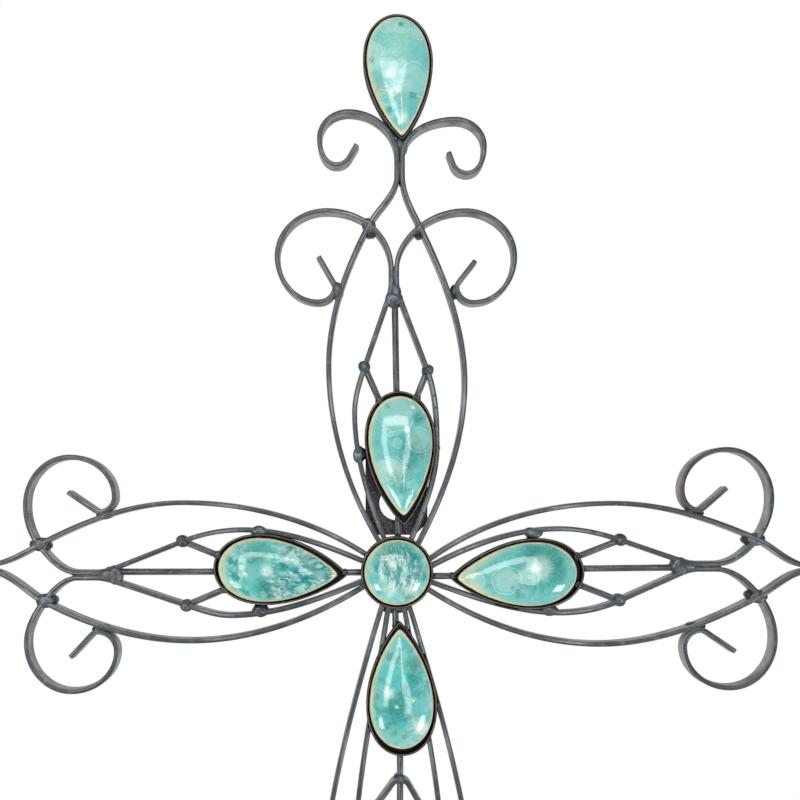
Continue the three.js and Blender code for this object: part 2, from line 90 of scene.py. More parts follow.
# Stock, clearances and the stones' shape, in millimetres, as in the part's source. The drops'
# fullness is a power, their heart a share of their length, and a dome has two powers.
GAP = 0.3
STONE_PLAY = 1.0
CUP_WALL = 1.3
CUP_FLOOR = 1.2
GIRDLE_BELOW_RIM = 0.8
ROUND_STONE = 41.5
STONE = SimpleNamespace(length=75.6, width=40.5, end_play=2.4)
END_STONE = SimpleNamespace(length=75, width=39.8, end_play=0)
DROP_FULLNESS = 0.86
HEART = 0.62
DOME_FLATNESS = 2.4
DOME_ROUNDNESS = 0.7
CUP_RADIUS = ROUND_STONE / 2 + STONE_PLAY + CUP_WALL
CUP_HALF_WIDTH = STONE.width / 2 + STONE_PLAY + CUP_WALL
CUP_LENGTH = STONE.length + 2 * (STONE.end_play + STONE_PLAY + CUP_WALL)
HOLE_RADIUS = 11
HOLE_UP = 44
PLATE_CHAMFER = 8

# How far the arms reach, from the cross's centre to the tip of the cup at an arm's end
TOP_REACH = 275.8
SIDE_REACH = 285.5
LOWER_REACH = 482

# How the bars are bent: an inner bar's heading at a crossing, in degrees; how long the bend at a
# leg's end is; how far a loop's start spreads, how far a scroll and a curl close, and the radius
# of a curl's last bend, as shares of the loop; how far a scroll's foot keeps off the outer bar;
# the radii of a tail's bend and of the arch's crown; how deep bars and rods run into the cups;
# how far a centre rod stops short of the inner bars' touch; and the places on a curve
CROSS_IN = 52
LEG_BEND = 12
SCROLL_SPREAD = 1.08
SCROLL_CLOSE = 0.9
CURL_CLOSE = 0.65
CURL_END = 0.55
FOOT_REST = 0.8
TAIL_BEND = 5
CROWN_RADIUS = 6
ROOT_SINK = 0.6
STUB_SINK = 5
ROD_STOP = 9
CURVE_STEPS = 64

# One arm after another, from the cross's centre outwards. A place is [along, across], across
# from the arm's axis, and a side's own sizes count outwards on that side.
# Along the arm, the end cup's tip, the touches, and a side's cross, curl, scroll and foot are
# measured from the arm's reach; strut and crown from the inner cup's far end; knob is a share
# of the leg, from that end to the inner apex. An eye's second size is its room off the cup.
# root: where the outer and inner bar leave the centre cup, and how far they flare, in degrees.
# scroll, curl: the far, outer and near reach of a loop. foot: where a scroll comes back to the
# outer bar, and how far off it is held. cup, end: the cup's tip, its lean, and how far its stone
# lies from its middle towards the arm's end. stub, rod: how far both ends of the root rod and of
# the centre rod lie across. lug: where weld ties the inner bar to the cup's side. beads: sizes of
# the welds at the crossing, the foot and the lug, as shares. foot_sink: how far the foot's weld
# lies behind the bars' fronts. seam: a weld's place, half sizes and front. Angles in degrees.
ARMS = [
    dict(
        name="top", turn=0, sides=["left", "right"], reach=TOP_REACH,
        stub=[0.6, 0.9], cup=([30.2, 4.4], 2.7, 1.5), end=([-1.1, 3.2], 3.1, 0.6),
        inner=([-89.8, -82.8], -1.9), outer=([-23.3, -11.8], 1.75), rod=[0.5, -1.4],
        left=dict(
            root=([30, 31], [20.6, 22]), leaf=[131.4, 43.5], cross=[-54.5, 17.8, -28],
            eye=[101.6, 4.4], knob=[0.22, 20.6], strut=[-4.1, 11.9], lug=[75, 24.4], foot_sink=-0.7,
            curl=[17.1, 49.3, -16.6, 330], curl_tail=9.5,
            scroll=[-45.8, 76.2, -103.9], foot=[-94.2, 0.2], tail=19.3, tail_turn=30,
        ),
        right=dict(
            root=([37, 28], [24, 22]), leaf=[120.7, 43.3], cross=[-55.8, 14.8, -26],
            eye=[80, 3], knob=[0.19, 19.4], strut=[-3.4, 12.7], lug=[79, 25.4], beads=(0.75, 0.85, 0.6),
            curl=[12.3, 55.6, -22, 340], curl_tail=7.5,
            scroll=[-45.9, 74.9, -104.2], foot=[-94.3, 2.4], tail=17, tail_turn=38,
        ),
    ),
    dict(
        name="left", turn=90, sides=["lower", "upper"], reach=SIDE_REACH,
        stub=[-0.1, -0.2], cup=([31.7, -1.4], -3.7, 1.5), end=([-0.5, 2.6], -1, 0.6),
        inner=([-93, -82.5], -1.9), outer=([-23.5, -14.5], 2.9), rod=[0.3, 0.2],
        lower=dict(
            root=([23.3, 32], [14.4, 23]), leaf=[131.4, 43.7], cross=[-60.7, 18.8, -28],
            eye=[105.6, 5], knob=[0.23, 21], strut=[-6.4, 11.1], lug=[87, 24.5],
            curl=[13.5, 52, -21.5, 332], curl_tail=8.5,
            scroll=[-49.9, 75.9, -107.1], foot=[-95, 0], tail=19.8, tail_turn=47,
        ),
        upper=dict(
            root=([29.8, 33], [17.8, 23]), leaf=[136.5, 44.3], cross=[-57.5, 17.5, -28],
            eye=[98.4, 4.4], knob=[0.26, 19.7], strut=[-1.6, 11.1], lug=[88, 26.2],
            curl=[12.5, 53, -22.5, 335], curl_tail=8.5,
            scroll=[-49.3, 73.3, -105.8], foot=[-96.3, -0.6], tail=20.6, tail_turn=34,
        ),
    ),
    dict(
        name="lower", turn=180, sides=["right", "left"], reach=LOWER_REACH,
        stub=[1.1, 0.6], cup=([31.5, -1.7], 1.4, 0.2), end=([0, -1], 1, 0.6),
        seam=(23.8, 1.6, 2.6, 8.4, -13.6),
        inner=([-94, -83], 0), outer=([-24, -13], 0), rod=[-1.9, -0.6],
        arch=([15.6, -2.1], [30, 36]),
        right=dict(
            root=([20.3, 17], [11.5, 11]), leaf=[255, 53.2], cross=[-56, 16.5, -28],
            eye=[215, 8.6], knob=[0.8, 21.5],
            curl=[15, 52, -21, 332], curl_tail=8.5,
            scroll=[-47, 76, -105], foot=[-95, 0.5], tail=19, tail_turn=36,
        ),
        left=dict(
            root=([24, 17], [13.5, 9]), leaf=[255, 52], cross=[-56, 16.5, -28],
            eye=[215, 6.4], knob=[0.8, 21.5],
            curl=[16, 51, -20, 335], curl_tail=8.5,
            scroll=[-46, 75, -104.5], foot=[-95, 0.5], tail=20, tail_turn=40,
        ),
    ),
    dict(
        name="right", turn=270, sides=["upper", "lower"], reach=SIDE_REACH,
        stub=[2.5, 2.4], cup=([34, 3.5], 3, -0.1), end=([0.5, -2.2], 1.5, 0.6),
        inner=([-93, -82.5], -3.7), outer=([-22.5, -13.5], -2.5), rod=[-1.8, -3],
        upper=dict(
            root=([21.6, 36], [10.2, 28]), leaf=[137.8, 43.9], cross=[-56.3, 21.3, -24],
            eye=[104, 5.1], knob=[0.32, 20.5], strut=[-3.3, 10.1], lug=[86.7, 25.2],
            curl=[14.5, 53, -20.5, 332], curl_tail=8.5,
            scroll=[-47.2, 78.2, -104.2], foot=[-93.7, 0], tail=19.4, tail_turn=41,
        ),
        lower=dict(
            root=([28.7, 33], [16, 20]), leaf=[128.9, 45.8], cross=[-54.6, 15.3, -28],
            eye=[104, 3.3], knob=[0.31, 18.1], strut=[-2, 8.4], lug=[97, 24.6],
            curl=[13.5, 52, -21.5, 335], curl_tail=8.5,
            scroll=[-45, 73.5, -102.6], foot=[-91.8, 0], tail=22.3, tail_turn=34,
        ),
    ),
]


def linear(hex_colour):
    """An sRGB hex colour as linear red, green, blue and a full alpha."""
    parts = [int(hex_colour[i:i + 2], 16) / 255 for i in (1, 3, 5)]
    return [c / 12.92 if c <= 0.04045 else ((c + 0.055) / 1.055) ** 2.4 for c in parts] + [1]


class CrossSizes(bpy.types.PropertyGroup):
    """Sizes that a smith would choose by hand; places come from the frame and the arm table."""

    bar_thick: FloatProperty(
        name="Bar thickness", description="Thickness of the flat bar, seen as its front edge",
        default=0.0032, min=0.001, unit="LENGTH", precision=4)
    edge_radius: FloatProperty(
        name="Edge radius", description="Rounding of the rolled bar's long edges",
        default=0.0009, min=0.0001, unit="LENGTH", precision=4)
    bar_step: FloatProperty(
        name="Bar step", description="Distance between two sections of a bent bar",
        default=0.0011, min=0.0004, unit="LENGTH", precision=4)
    rim_radius: FloatProperty(
        name="Rim radius", description="Rounding of a cup's front rim",
        default=0.0005, min=0.0001, unit="LENGTH", precision=4)
    hammer_depth: FloatProperty(
        name="Hammer depth", description="Depth of the dimples in the hanger plate",
        default=0.00012, min=0.0, unit="LENGTH", precision=5)


class CrossColours(bpy.types.PropertyGroup):
    """Colours of the finishes, as the panel shows them."""

    steel: FloatVectorProperty(
        name="Steel", description="Blue-grey mill scale under clear lacquer",
        default=linear("#444c51")[:3], size=3, min=0, max=1, subtype="COLOR")
    glaze: FloatVectorProperty(
        name="Glaze", description="Body colour of the stones' glaze",
        default=linear("#6fbab4")[:3], size=3, min=0, max=1, subtype="COLOR")


def millimetres(context):
    """The panel's sizes as plain numbers in millimetres."""
    sizes = context.scene.wall_cross_sizes
    return SimpleNamespace(**{key: getattr(sizes, key) / MM for key in sizes.__annotations__})


def turns(count, shift=0.0):
    """Even angles round a full turn, in radians, shifted by a share of one step."""
    return 2 * np.pi * (np.arange(count) + shift) / count


def heading(degrees):
    """Unit vector, or vectors, at an angle from the arm's own axis."""
    angle = np.radians(degrees)
    return np.stack([np.cos(angle), np.sin(angle)], -1)


def placed(points, turn):
    """Points (along, across) of an arm as (x, z) of the cross, in millimetres."""
    points = np.asarray(points, float)
    flat = points[..., :1] * heading(turn + 90) + points[..., 1:2] * heading(turn)
    return flat + [0, CENTRE_UP]


def standing(points, turn, y):
    """Points (along, across) of an arm and their depths y as (x, y, z), in millimetres."""
    flat = placed(points, turn)
    return np.stack([flat[..., 0], np.broadcast_to(y, flat.shape[:-1]), flat[..., 1]], -1)


def smooth_path(knots, step):
    """Places and normals along knots (along, across, heading): between two knots runs the cubic
    whose handles, 2/3 chord tan(turn/4) / sin(turn/2), stand for an arc of their turn. The
    whole line is then cut at even steps of its length."""
    parts = []
    for start, end in zip(knots, knots[1:]):
        p0, p3 = np.array(start[:2], float), np.array(end[:2], float)
        turn = abs(math.radians(end[2] - start[2]))
        chord = np.linalg.norm(p3 - p0)
        share = math.tan(turn / 4) / math.sin(turn / 2) * 2 / 3 if turn > 1e-3 else 1 / 3
        p1 = p0 + heading(start[2]) * share * chord
        p2 = p3 - heading(end[2]) * share * chord
        t = np.arange(CURVE_STEPS)[:, None] / CURVE_STEPS
        parts.append((1 - t) ** 3 * p0 + 3 * t * (1 - t) ** 2 * p1
                     + 3 * t ** 2 * (1 - t) * p2 + t ** 3 * p3)
    line = np.vstack([*parts, [knots[-1][:2]]])
    length = np.concatenate([[0], np.cumsum(np.linalg.norm(np.diff(line, axis=0), axis=1))])
    even = np.linspace(0, length[-1], max(3, int(round(length[-1] / step)) + 1))
    places = np.stack([np.interp(even, length, line[:, k]) for k in (0, 1)], -1)
    along = np.gradient(places, axis=0)
    along /= np.linalg.norm(along, axis=1, keepdims=True)
    return places, np.stack([-along[:, 1], along[:, 0]], -1)


def across_at(path, along):
    """How far a path lies across the arm where it first reaches a distance along it."""
    places = path[0]
    i = int(np.argmax(places[:, 0] >= along))
    return float(np.interp(along, places[i - 1:i + 1, 0], places[i - 1:i + 1, 1]))


def loop_knots(loop, close):
    """Knots of the loop that a bar ends in: over the top, down the outside and back under."""
    far, out, near = loop[:3]
    middle = (far + near) / 2
    return [
        (far, out - SCROLL_SPREAD * (far - middle), 90),
        (middle, out, 180),
        (near, out - close * (middle - near), 270),
    ]


def root_knot(root):
    """The knot where a bar leaves the centre cup, and how it heads there."""
    at = heading(root[0]) * (CUP_RADIUS - ROOT_SINK)
    return (at[0], at[1], root[1])


def outer_knots(arm, side, sign, thick):
    """The outer bar of a side: round the leaf, over the inner bar, beside its twin, into a curl."""
    reach = arm["reach"]
    touch, shift = arm["outer"]
    across = (thick + GAP) / 2 + sign * shift
    far, out, near, turned = side["curl"]
    loop = loop_knots((reach + far, out, reach + near), CURL_CLOSE)
    radius = CURL_END * (far - near) / 2
    end = np.array([reach + near + radius, loop[2][1]]) - heading(turned + 90) * radius
    tail = end + heading(turned) * side["curl_tail"]
    cross = side["cross"]
    return [
        root_knot(side["root"][0]),
        (*side["leaf"], 0),
        (reach + cross[0], cross[1], cross[2]),
        (reach + touch[0], across, 0),
        (reach + touch[1], across, 0),
        *loop,
        (*end, turned),
        (*tail, turned),
    ]


def leg_of(arm, side, sign, thick):
    """Knob, leg's end and touch of an inner bar, with the leg's own heading in degrees."""
    touch = arm["reach"] + arm["inner"][0][0]
    across = (thick + GAP) / 2 + sign * arm["inner"][1]
    cup_end = arm["cup"][0][0] + CUP_LENGTH
    knob = (cup_end + (touch - cup_end) * side["knob"][0], side["knob"][1])
    leg_end = touch - LEG_BEND
    slope = (knob[1] - across) / (leg_end - knob[0] + LEG_BEND / 2)
    bend = (leg_end, across + slope * LEG_BEND / 2)
    return knob, bend, (touch, across), -math.degrees(math.atan(slope))


def foot_of(arm, side, outer, thick):
    """Where a scroll comes to rest on the outer bar's outside."""
    along = arm["reach"] + side["foot"][0]
    return along, across_at(outer, along) + thick + GAP + FOOT_REST + side["foot"][1]


def inner_knots(arm, side, sign, outer, thick):
    """The inner bar: round the cup, a straight leg, beside its twin, out through the outer bar
    and round a scroll whose foot comes back to the outer bar's outside."""
    reach = arm["reach"]
    knob, bend, touch, leg_heading = leg_of(arm, side, sign, thick)
    foot = foot_of(arm, side, outer, thick)
    turned = 360 + side["tail_turn"]
    turn = math.radians(side["tail_turn"])
    rise = (foot[0] + TAIL_BEND * math.sin(turn), foot[1] + TAIL_BEND * (1 - math.cos(turn)))
    tail = np.array(rise) + heading(turned) * side["tail"]
    far, out, near = side["scroll"]
    return [
        root_knot(side["root"][1]),
        (side["eye"][0], CUP_HALF_WIDTH + side["eye"][1], 0),
        (*knob, leg_heading),
        (*bend, leg_heading),
        (*touch, 0),
        (reach + arm["inner"][0][1], touch[1], 0),
        (reach + side["cross"][0], side["cross"][1], CROSS_IN),
        *loop_knots((reach + far, out, reach + near), SCROLL_CLOSE),
        (*foot, 360),
        (*rise, turned),
        (*tail, turned),
    ]


def mirrored(path, sign):
    """A path of the arm's own side: places and normals turned over for sign -1."""
    flip = np.array([1, sign])
    return path[0] * flip, path[1] * flip


def bar_paths(sizes):
    """Every bar of the cross as {(arm, side, kind): path}, each on its own side of the arm."""
    paths = {}
    for arm in ARMS:
        for sign, name in zip((-1, 1), arm["sides"]):
            side = arm[name]
            outer = smooth_path(outer_knots(arm, side, sign, sizes.bar_thick), sizes.bar_step)
            inner = smooth_path(
                inner_knots(arm, side, sign, outer, sizes.bar_thick), sizes.bar_step)
            paths[arm["name"], name, "outer"] = mirrored(outer, sign)
            paths[arm["name"], name, "inner"] = mirrored(inner, sign)
    return paths


def drop_local(points, place, inset):
    """Points (along, across) of an arm in a drop's own frame, from its tip towards its far end."""
    tip, lean = place[:2]
    shifted = np.asarray(points, float) - tip
    turned = heading(lean)
    along = shifted[..., 0] * turned[0] - shifted[..., 1] * turned[1]
    across = shifted[..., 0] * turned[1] + shifted[..., 1] * turned[0]
    return along - inset, across


def drop_half(q, half_width, blunt=0.0):
    """Half width of a drop at a share q of its length: q to the fullness, times the square
    root of 1 - q, scaled so that the widest place has the half width. A blunt tip takes
    sqrt(q^2 + 2 blunt q (1 - q)^4) for q: round at the tip, and q itself further on."""
    peak = DROP_FULLNESS / (DROP_FULLNESS + 0.5)
    most = peak ** DROP_FULLNESS * math.sqrt(1 - peak)
    q = np.clip(q, 0, 1)
    rounded = np.sqrt(q ** 2 + 2 * blunt * q * (1 - q) ** 4)
    return half_width * rounded ** DROP_FULLNESS * np.sqrt(1 - q) / most


def drop_outline(stone, place, play, end_play, around, blunt):
    """Outline of a drop, from its tip round to the tip, as points (along, across) of the arm.
    The share along it is (1 - cos t) / 2, so that points crowd at both ends."""
    t = turns(around, 0.5)
    q = (1 - np.cos(t)) / 2
    full = stone.length + 2 * (end_play + play)
    inset = stone.end_play + STONE_PLAY + CUP_WALL - end_play
    points = np.stack([
        q * full - play,
        drop_half(q, stone.width / 2 + play, blunt) * np.sign(np.sin(t)),
    ], -1)
    tip, lean = place[:2]
    turned = heading(-lean)
    along = points[:, :1] * turned
    across = points[:, 1:] * np.array([-turned[1], turned[0]])
    return along + across + tip + [inset, 0]


def under_cups(points, cups):
    """True where points (along, across) of an arm lie under a cup, drawn in by the gap."""
    hidden = np.zeros(points.shape[:-1], bool)
    for stone, place in cups:
        play = STONE_PLAY + CUP_WALL - GAP
        along, across = drop_local(points, place, GAP)
        q = along / (stone.length + 2 * (stone.end_play + play))
        hidden |= (q > 0) & (q < 1) & (np.abs(across) < drop_half(q, stone.width / 2 + play))
    return hidden


# Edges that turn further than this, in degrees, are shaded sharp
SHARP_ANGLE = 50


def grid_faces(rings, around):
    """Quads between the rings of a grid that closes on itself the short way."""
    ring = np.arange(rings - 1)[:, None] * around
    k = np.arange(around)[None, :]
    after = (k + 1) % around
    return np.stack([ring + k, ring + after, ring + around + after, ring + around + k], -1)


def closed_mesh(name, parts, material, looped=False):
    """A mesh of grids (rings, around, 3) in millimetres, each with its UV. First and last ring
    are closed by a fan, or joined where the grid is looped. Faces are turned outwards by the
    sign of the volume."""
    verts, faces, maps, count = [], [], [], 0
    for grid, uv in parts:
        rings, around = grid.shape[:2]
        ends = np.stack([grid[0].mean(0), grid[-1].mean(0)])
        corners = np.vstack([grid.reshape(-1, 3), ends])
        quads = grid_faces(rings + looped, around).reshape(-1, 4) % (rings * around)
        k = np.arange(around)
        after = (k + 1) % around
        first = np.full(around, rings * around)
        last = (rings - 1) * around
        fans = [np.stack([after, k, first], -1), np.stack([last + k, last + after, first + 1], -1)]
        if looped:
            fans, corners = [], corners[:-2]
        tris = np.concatenate([quads[:, [0, 1, 2]], quads[:, [0, 2, 3]], *fans])
        a, b, c = (corners[tris[:, n]] for n in range(3))
        outward = np.einsum("ij,ij->i", a, np.cross(b, c)).sum() > 0
        turn = slice(None) if outward else slice(None, None, -1)
        for found in (quads, *fans):
            faces += (found[:, turn] + count).tolist()
        flat_uv = uv.reshape(-1, 2)
        ends_uv = np.stack([flat_uv[:around].mean(0), flat_uv[-around:].mean(0)])
        maps.append(np.vstack([flat_uv, ends_uv])[:len(corners)])
        verts.append(corners)
        count += len(corners)
    mesh = bpy.data.meshes.new(name)
    mesh.from_pydata((np.vstack(verts) * MM).tolist(), [], faces)
    mesh.shade_smooth()
    mesh.set_sharp_from_angle(angle=math.radians(SHARP_ANGLE))
    mesh.materials.append(material)
    corner = np.zeros(len(mesh.loops), np.int32)
    mesh.loops.foreach_get("vertex_index", corner)
    uv = np.vstack(maps)[corner].astype(np.float32)
    mesh.uv_layers.new(name="UVMap").data.foreach_set("uv", uv.ravel())
    return mesh


# How far a weld's heat tints the steel, in millimetres
HEAT_REACH = 9


def add_heat(mesh, hot):
    """Writes an attribute, 1 on a weld at one of the hot places (x, z) and 0 far from them all:
    exp(-(distance / HEAT_REACH)^2)."""
    corners = np.zeros(len(mesh.vertices) * 3)
    mesh.vertices.foreach_get("co", corners)
    flat = corners.reshape(-1, 3)[:, [0, 2]] / MM
    near = np.linalg.norm(flat[:, None] - hot, axis=-1).min(axis=1)
    heat = mesh.attributes.new("heat", "FLOAT", "POINT")
    heat.data.foreach_set("value", np.exp(-(near / HEAT_REACH) ** 2).astype(np.float32))


def add_piece(mesh, nodes):
    """Puts a mesh into the scene as a piece that rides on the root and stands in for nodes."""
    piece = bpy.data.objects.new(mesh.name, mesh)
    bpy.context.scene.collection.objects.link(piece)
    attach(piece, "root")
    if nodes:
        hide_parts(*nodes)


# A bar's rounded corner is drawn in so many places, and it dips so far under the bar it crosses
CORNER_STEPS = 4
BAR_DIP = 0.25
# A sheared bar end: the width that its cut face keeps, as a share, and its chamfer
CUT_SHARE = 0.82
CUT_CHAMFER = 0.3
# A section that is whole, counted from the bar's start
CLEAR_OF_CUT = 5


def bar_section(thick, radius):
    """A flat bar's section as (across, share of the depth side, rounding): a rectangle with
    quarter rounds, going round once. Depth is given as an end, -1 back or 1 front, and a
    distance in from that end."""
    half = thick / 2
    corner = np.radians(np.linspace(0, 90, CORNER_STEPS))
    across, end, inward = [], [], []
    for side, front in ((1, -1), (1, 1), (-1, 1), (-1, -1)):
        rounds = corner if side * front < 0 else corner[::-1]
        across += list(side * (half - radius + radius * np.sin(rounds)))
        end += [front] * len(corner)
        inward += list(radius - radius * np.cos(rounds))
    return np.array(across), np.array(end), np.array(inward)


def sweep_bar(path, turn, sizes, cups, dip=None):
    """Carries a flat bar's section along a path. Its front edge is lowered under a cup, and by
    dip, given as (place, depth), where another bar passes over it."""
    places, normals = path
    across, end, inward = bar_section(sizes.bar_thick, sizes.edge_radius)
    wide = np.concatenate([[CUT_SHARE], np.ones(len(places)), [CUT_SHARE]])
    along = np.array([-normals[:, 1], normals[:, 0]]).T
    first = places[:1] + along[:1] * CUT_CHAMFER
    last = places[-1:] - along[-1:] * CUT_CHAMFER
    tipped = np.vstack([first, places, last])
    sideways = np.vstack([normals[:1], normals, normals[-1:]])
    points = tipped[:, None] + sideways[:, None] * (across * wide[:, None])[..., None]
    short = np.where(wide < 1, CUT_CHAMFER, 0)[:, None]
    front = BAR_FRONT + short
    if dip:
        off = np.linalg.norm(tipped - dip[0], axis=1)[:, None]
        front = front + dip[1] * np.exp(-(off / sizes.bar_thick) ** 2)
    y = np.where(end > 0, front + inward, BAR_BACK - short - inward)
    lowered = under_cups(points, cups) & (y < CUP_BACK + GAP)
    grid = standing(points, turn, np.where(lowered, CUP_BACK + GAP, y))
    run = np.arange(len(grid))[:, None] * sizes.bar_step * MM
    depth = y[CLEAR_OF_CUT]
    girth = np.cumsum(np.hypot(
        np.diff(across, prepend=across[-1]), np.diff(depth, prepend=depth[-1])))
    uv = np.stack(np.broadcast_arrays(run, girth[None, :] * MM), -1)
    return grid, uv


def arm_cups(arm):
    """An arm's inner and end cup as (stone, (tip, lean, seat))."""
    tip, lean, seat = arm["end"]
    return [(STONE, arm["cup"]), (END_STONE, ([arm["reach"] + tip[0], tip[1]], lean, seat))]


# A rod's sides, the length between its sections, and how far its cut ends are broken
ROD_SIDES = 24
ROD_STEP = 4
ROD_BLUNT = 0.4


def round_rod(start, end, turn, radius):
    """A round bar between two places of an arm: circles of the radius along the line, drawn in
    at both ends so that the cut ends are broken."""
    start, end = np.array(start, float), np.array(end, float)
    length = np.linalg.norm(end - start)
    way = (end - start) / length
    level = (ROD_FRONT + ROD_BACK) / 2
    inner = np.linspace(ROD_BLUNT, length - ROD_BLUNT, max(2, int(length / ROD_STEP)))
    at = np.concatenate([[0], inner, [length]])
    size = np.full(len(at), radius)
    size[[0, -1]] = radius - ROD_BLUNT
    angle = turns(ROD_SIDES)
    sideways = np.array([-way[1], way[0]])
    points = (start + at[:, None] * way)[:, None] + (
        size[:, None] * np.cos(angle))[..., None] * sideways
    uv = np.stack(np.broadcast_arrays(at[:, None] * MM, angle[None, :] * radius * MM), -1)
    return standing(points, turn, level + size[:, None] * np.sin(angle)), uv


# The nodes used, by a short name: kind and settings, the inputs that are given, in their order,
# and the output that is taken
RANGE = ("Value", "From Min", "From Max", "To Min", "To Max")
NODES = {
    "object place": ("ShaderNodeTexCoord", {}, (), "Object"),
    "uv": ("ShaderNodeTexCoord", {}, (), "UV"),
    "normal": ("ShaderNodeTexCoord", {}, (), "Normal"),
    "world way": ("ShaderNodeTexCoord", {}, (), "Generated"),
    "heat": ("ShaderNodeAttribute", {"attribute_name": "heat"}, (), "Fac"),
    "camera ray": ("ShaderNodeLightPath", {}, (), "Is Camera Ray"),
    "plus": ("ShaderNodeMath", {"operation": "ADD"}, (0, 1), 0),
    "minus": ("ShaderNodeMath", {"operation": "SUBTRACT"}, (0, 1), 0),
    "times": ("ShaderNodeMath", {"operation": "MULTIPLY"}, (0, 1), 0),
    "divided": ("ShaderNodeMath", {"operation": "DIVIDE"}, (0, 1), 0),
    "larger": ("ShaderNodeMath", {"operation": "MAXIMUM"}, (0, 1), 0),
    "unsigned": ("ShaderNodeMath", {"operation": "ABSOLUTE"}, (0,), 0),
    "shifted": ("ShaderNodeVectorMath", {"operation": "ADD"}, (0, 1), "Vector"),
    "seen from": ("ShaderNodeVectorMath", {"operation": "SUBTRACT"}, (0, 1), "Vector"),
    "scaled": ("ShaderNodeVectorMath", {"operation": "MULTIPLY"}, (0, 1), "Vector"),
    "scaled, shifted": ("ShaderNodeVectorMath", {"operation": "MULTIPLY_ADD"}, (0, 1, 2), "Vector"),
    "unit": ("ShaderNodeVectorMath", {"operation": "NORMALIZE"}, (0,), "Vector"),
    "length": ("ShaderNodeVectorMath", {"operation": "LENGTH"}, (0,), "Value"),
    "dot": ("ShaderNodeVectorMath", {"operation": "DOT_PRODUCT"}, (0, 1), "Value"),
    "x": ("ShaderNodeSeparateXYZ", {}, (0,), "X"),
    "y": ("ShaderNodeSeparateXYZ", {}, (0,), "Y"),
    "point": ("ShaderNodeCombineXYZ", {}, (0, 1, 2), "Vector"),
    "ramp": ("ShaderNodeMapRange", {}, RANGE, "Result"),
    "step": ("ShaderNodeMapRange", {"interpolation_type": "SMOOTHSTEP"}, RANGE, "Result"),
    "mix": ("ShaderNodeMix", {"data_type": "RGBA"}, (6, 7, 0), 2),
    "noise": ("ShaderNodeTexNoise", {}, ("Vector", "Scale", "Detail", "Roughness", "Distortion"), 0),
    "noisy colour": ("ShaderNodeTexNoise", {}, ("Vector", "Scale", "Detail"), "Color"),
    "cells": ("ShaderNodeTexVoronoi", {}, ("Vector", "Scale"), "Color"),
    "cell walls": (
        "ShaderNodeTexVoronoi", {"feature": "DISTANCE_TO_EDGE"}, ("Vector", "Scale"), "Distance"),
    "bump": ("ShaderNodeBump", {}, ("Height", "Distance", "Strength"), "Normal"),
    "background": ("ShaderNodeBackground", {}, ("Color", "Strength"), "Background"),
    "mixed shader": ("ShaderNodeMixShader", {}, (0, 1, 2), "Shader"),
}


def add(tree, name, *values):
    """Adds a node of the table, with its settings, sets or links its inputs, and gives its
    output. A noise's or cells' scale is one over their size in millimetres."""
    kind, settings, sockets, output = NODES[name]
    node = tree.nodes.new(kind)
    for key, value in settings.items():
        setattr(node, key, value)
    fill(tree, node, dict(zip(sockets, values)))
    return node.outputs[output]


def fill(tree, node, inputs):
    """Sets or links a node's inputs by name."""
    for key, value in inputs.items():
        if isinstance(value, bpy.types.NodeSocket):
            tree.links.new(value, node.inputs[key])
        else:
            node.inputs[key].default_value = value


def new_material(name):
    """An empty material with its tree and its Principled shader."""
    material = bpy.data.materials.new(name)
    material.use_nodes = True
    tree = material.node_tree
    return material, tree, tree.nodes["Principled BSDF"]


def patched(tree, colour, place, layers):
    """Tints laid over a colour in patches of noise. Each layer is a tint, the noise's settings
    from its size in millimetres on, the levels between which it sets in, and its full cover."""
    for tint, (size, *noise), levels, cover in layers:
        share = add(tree, "step", add(tree, "noise", place, 1 / size, *noise), *levels, 0, cover)
        colour = add(tree, "mix", colour, linear(tint), share)
    return colour


def in_millimetres(tree):
    """Object coordinates, scaled to millimetres."""
    return add(tree, "scaled", add(tree, "object place"), (1 / MM,) * 3)


def facing_front(tree):
    """1 on faces that look out of the wall, 0 on those that stand on it."""
    forward = add(tree, "times", add(tree, "y", add(tree, "normal")), -1.0)
    return add(tree, "step", forward, 0.45, 0.9)


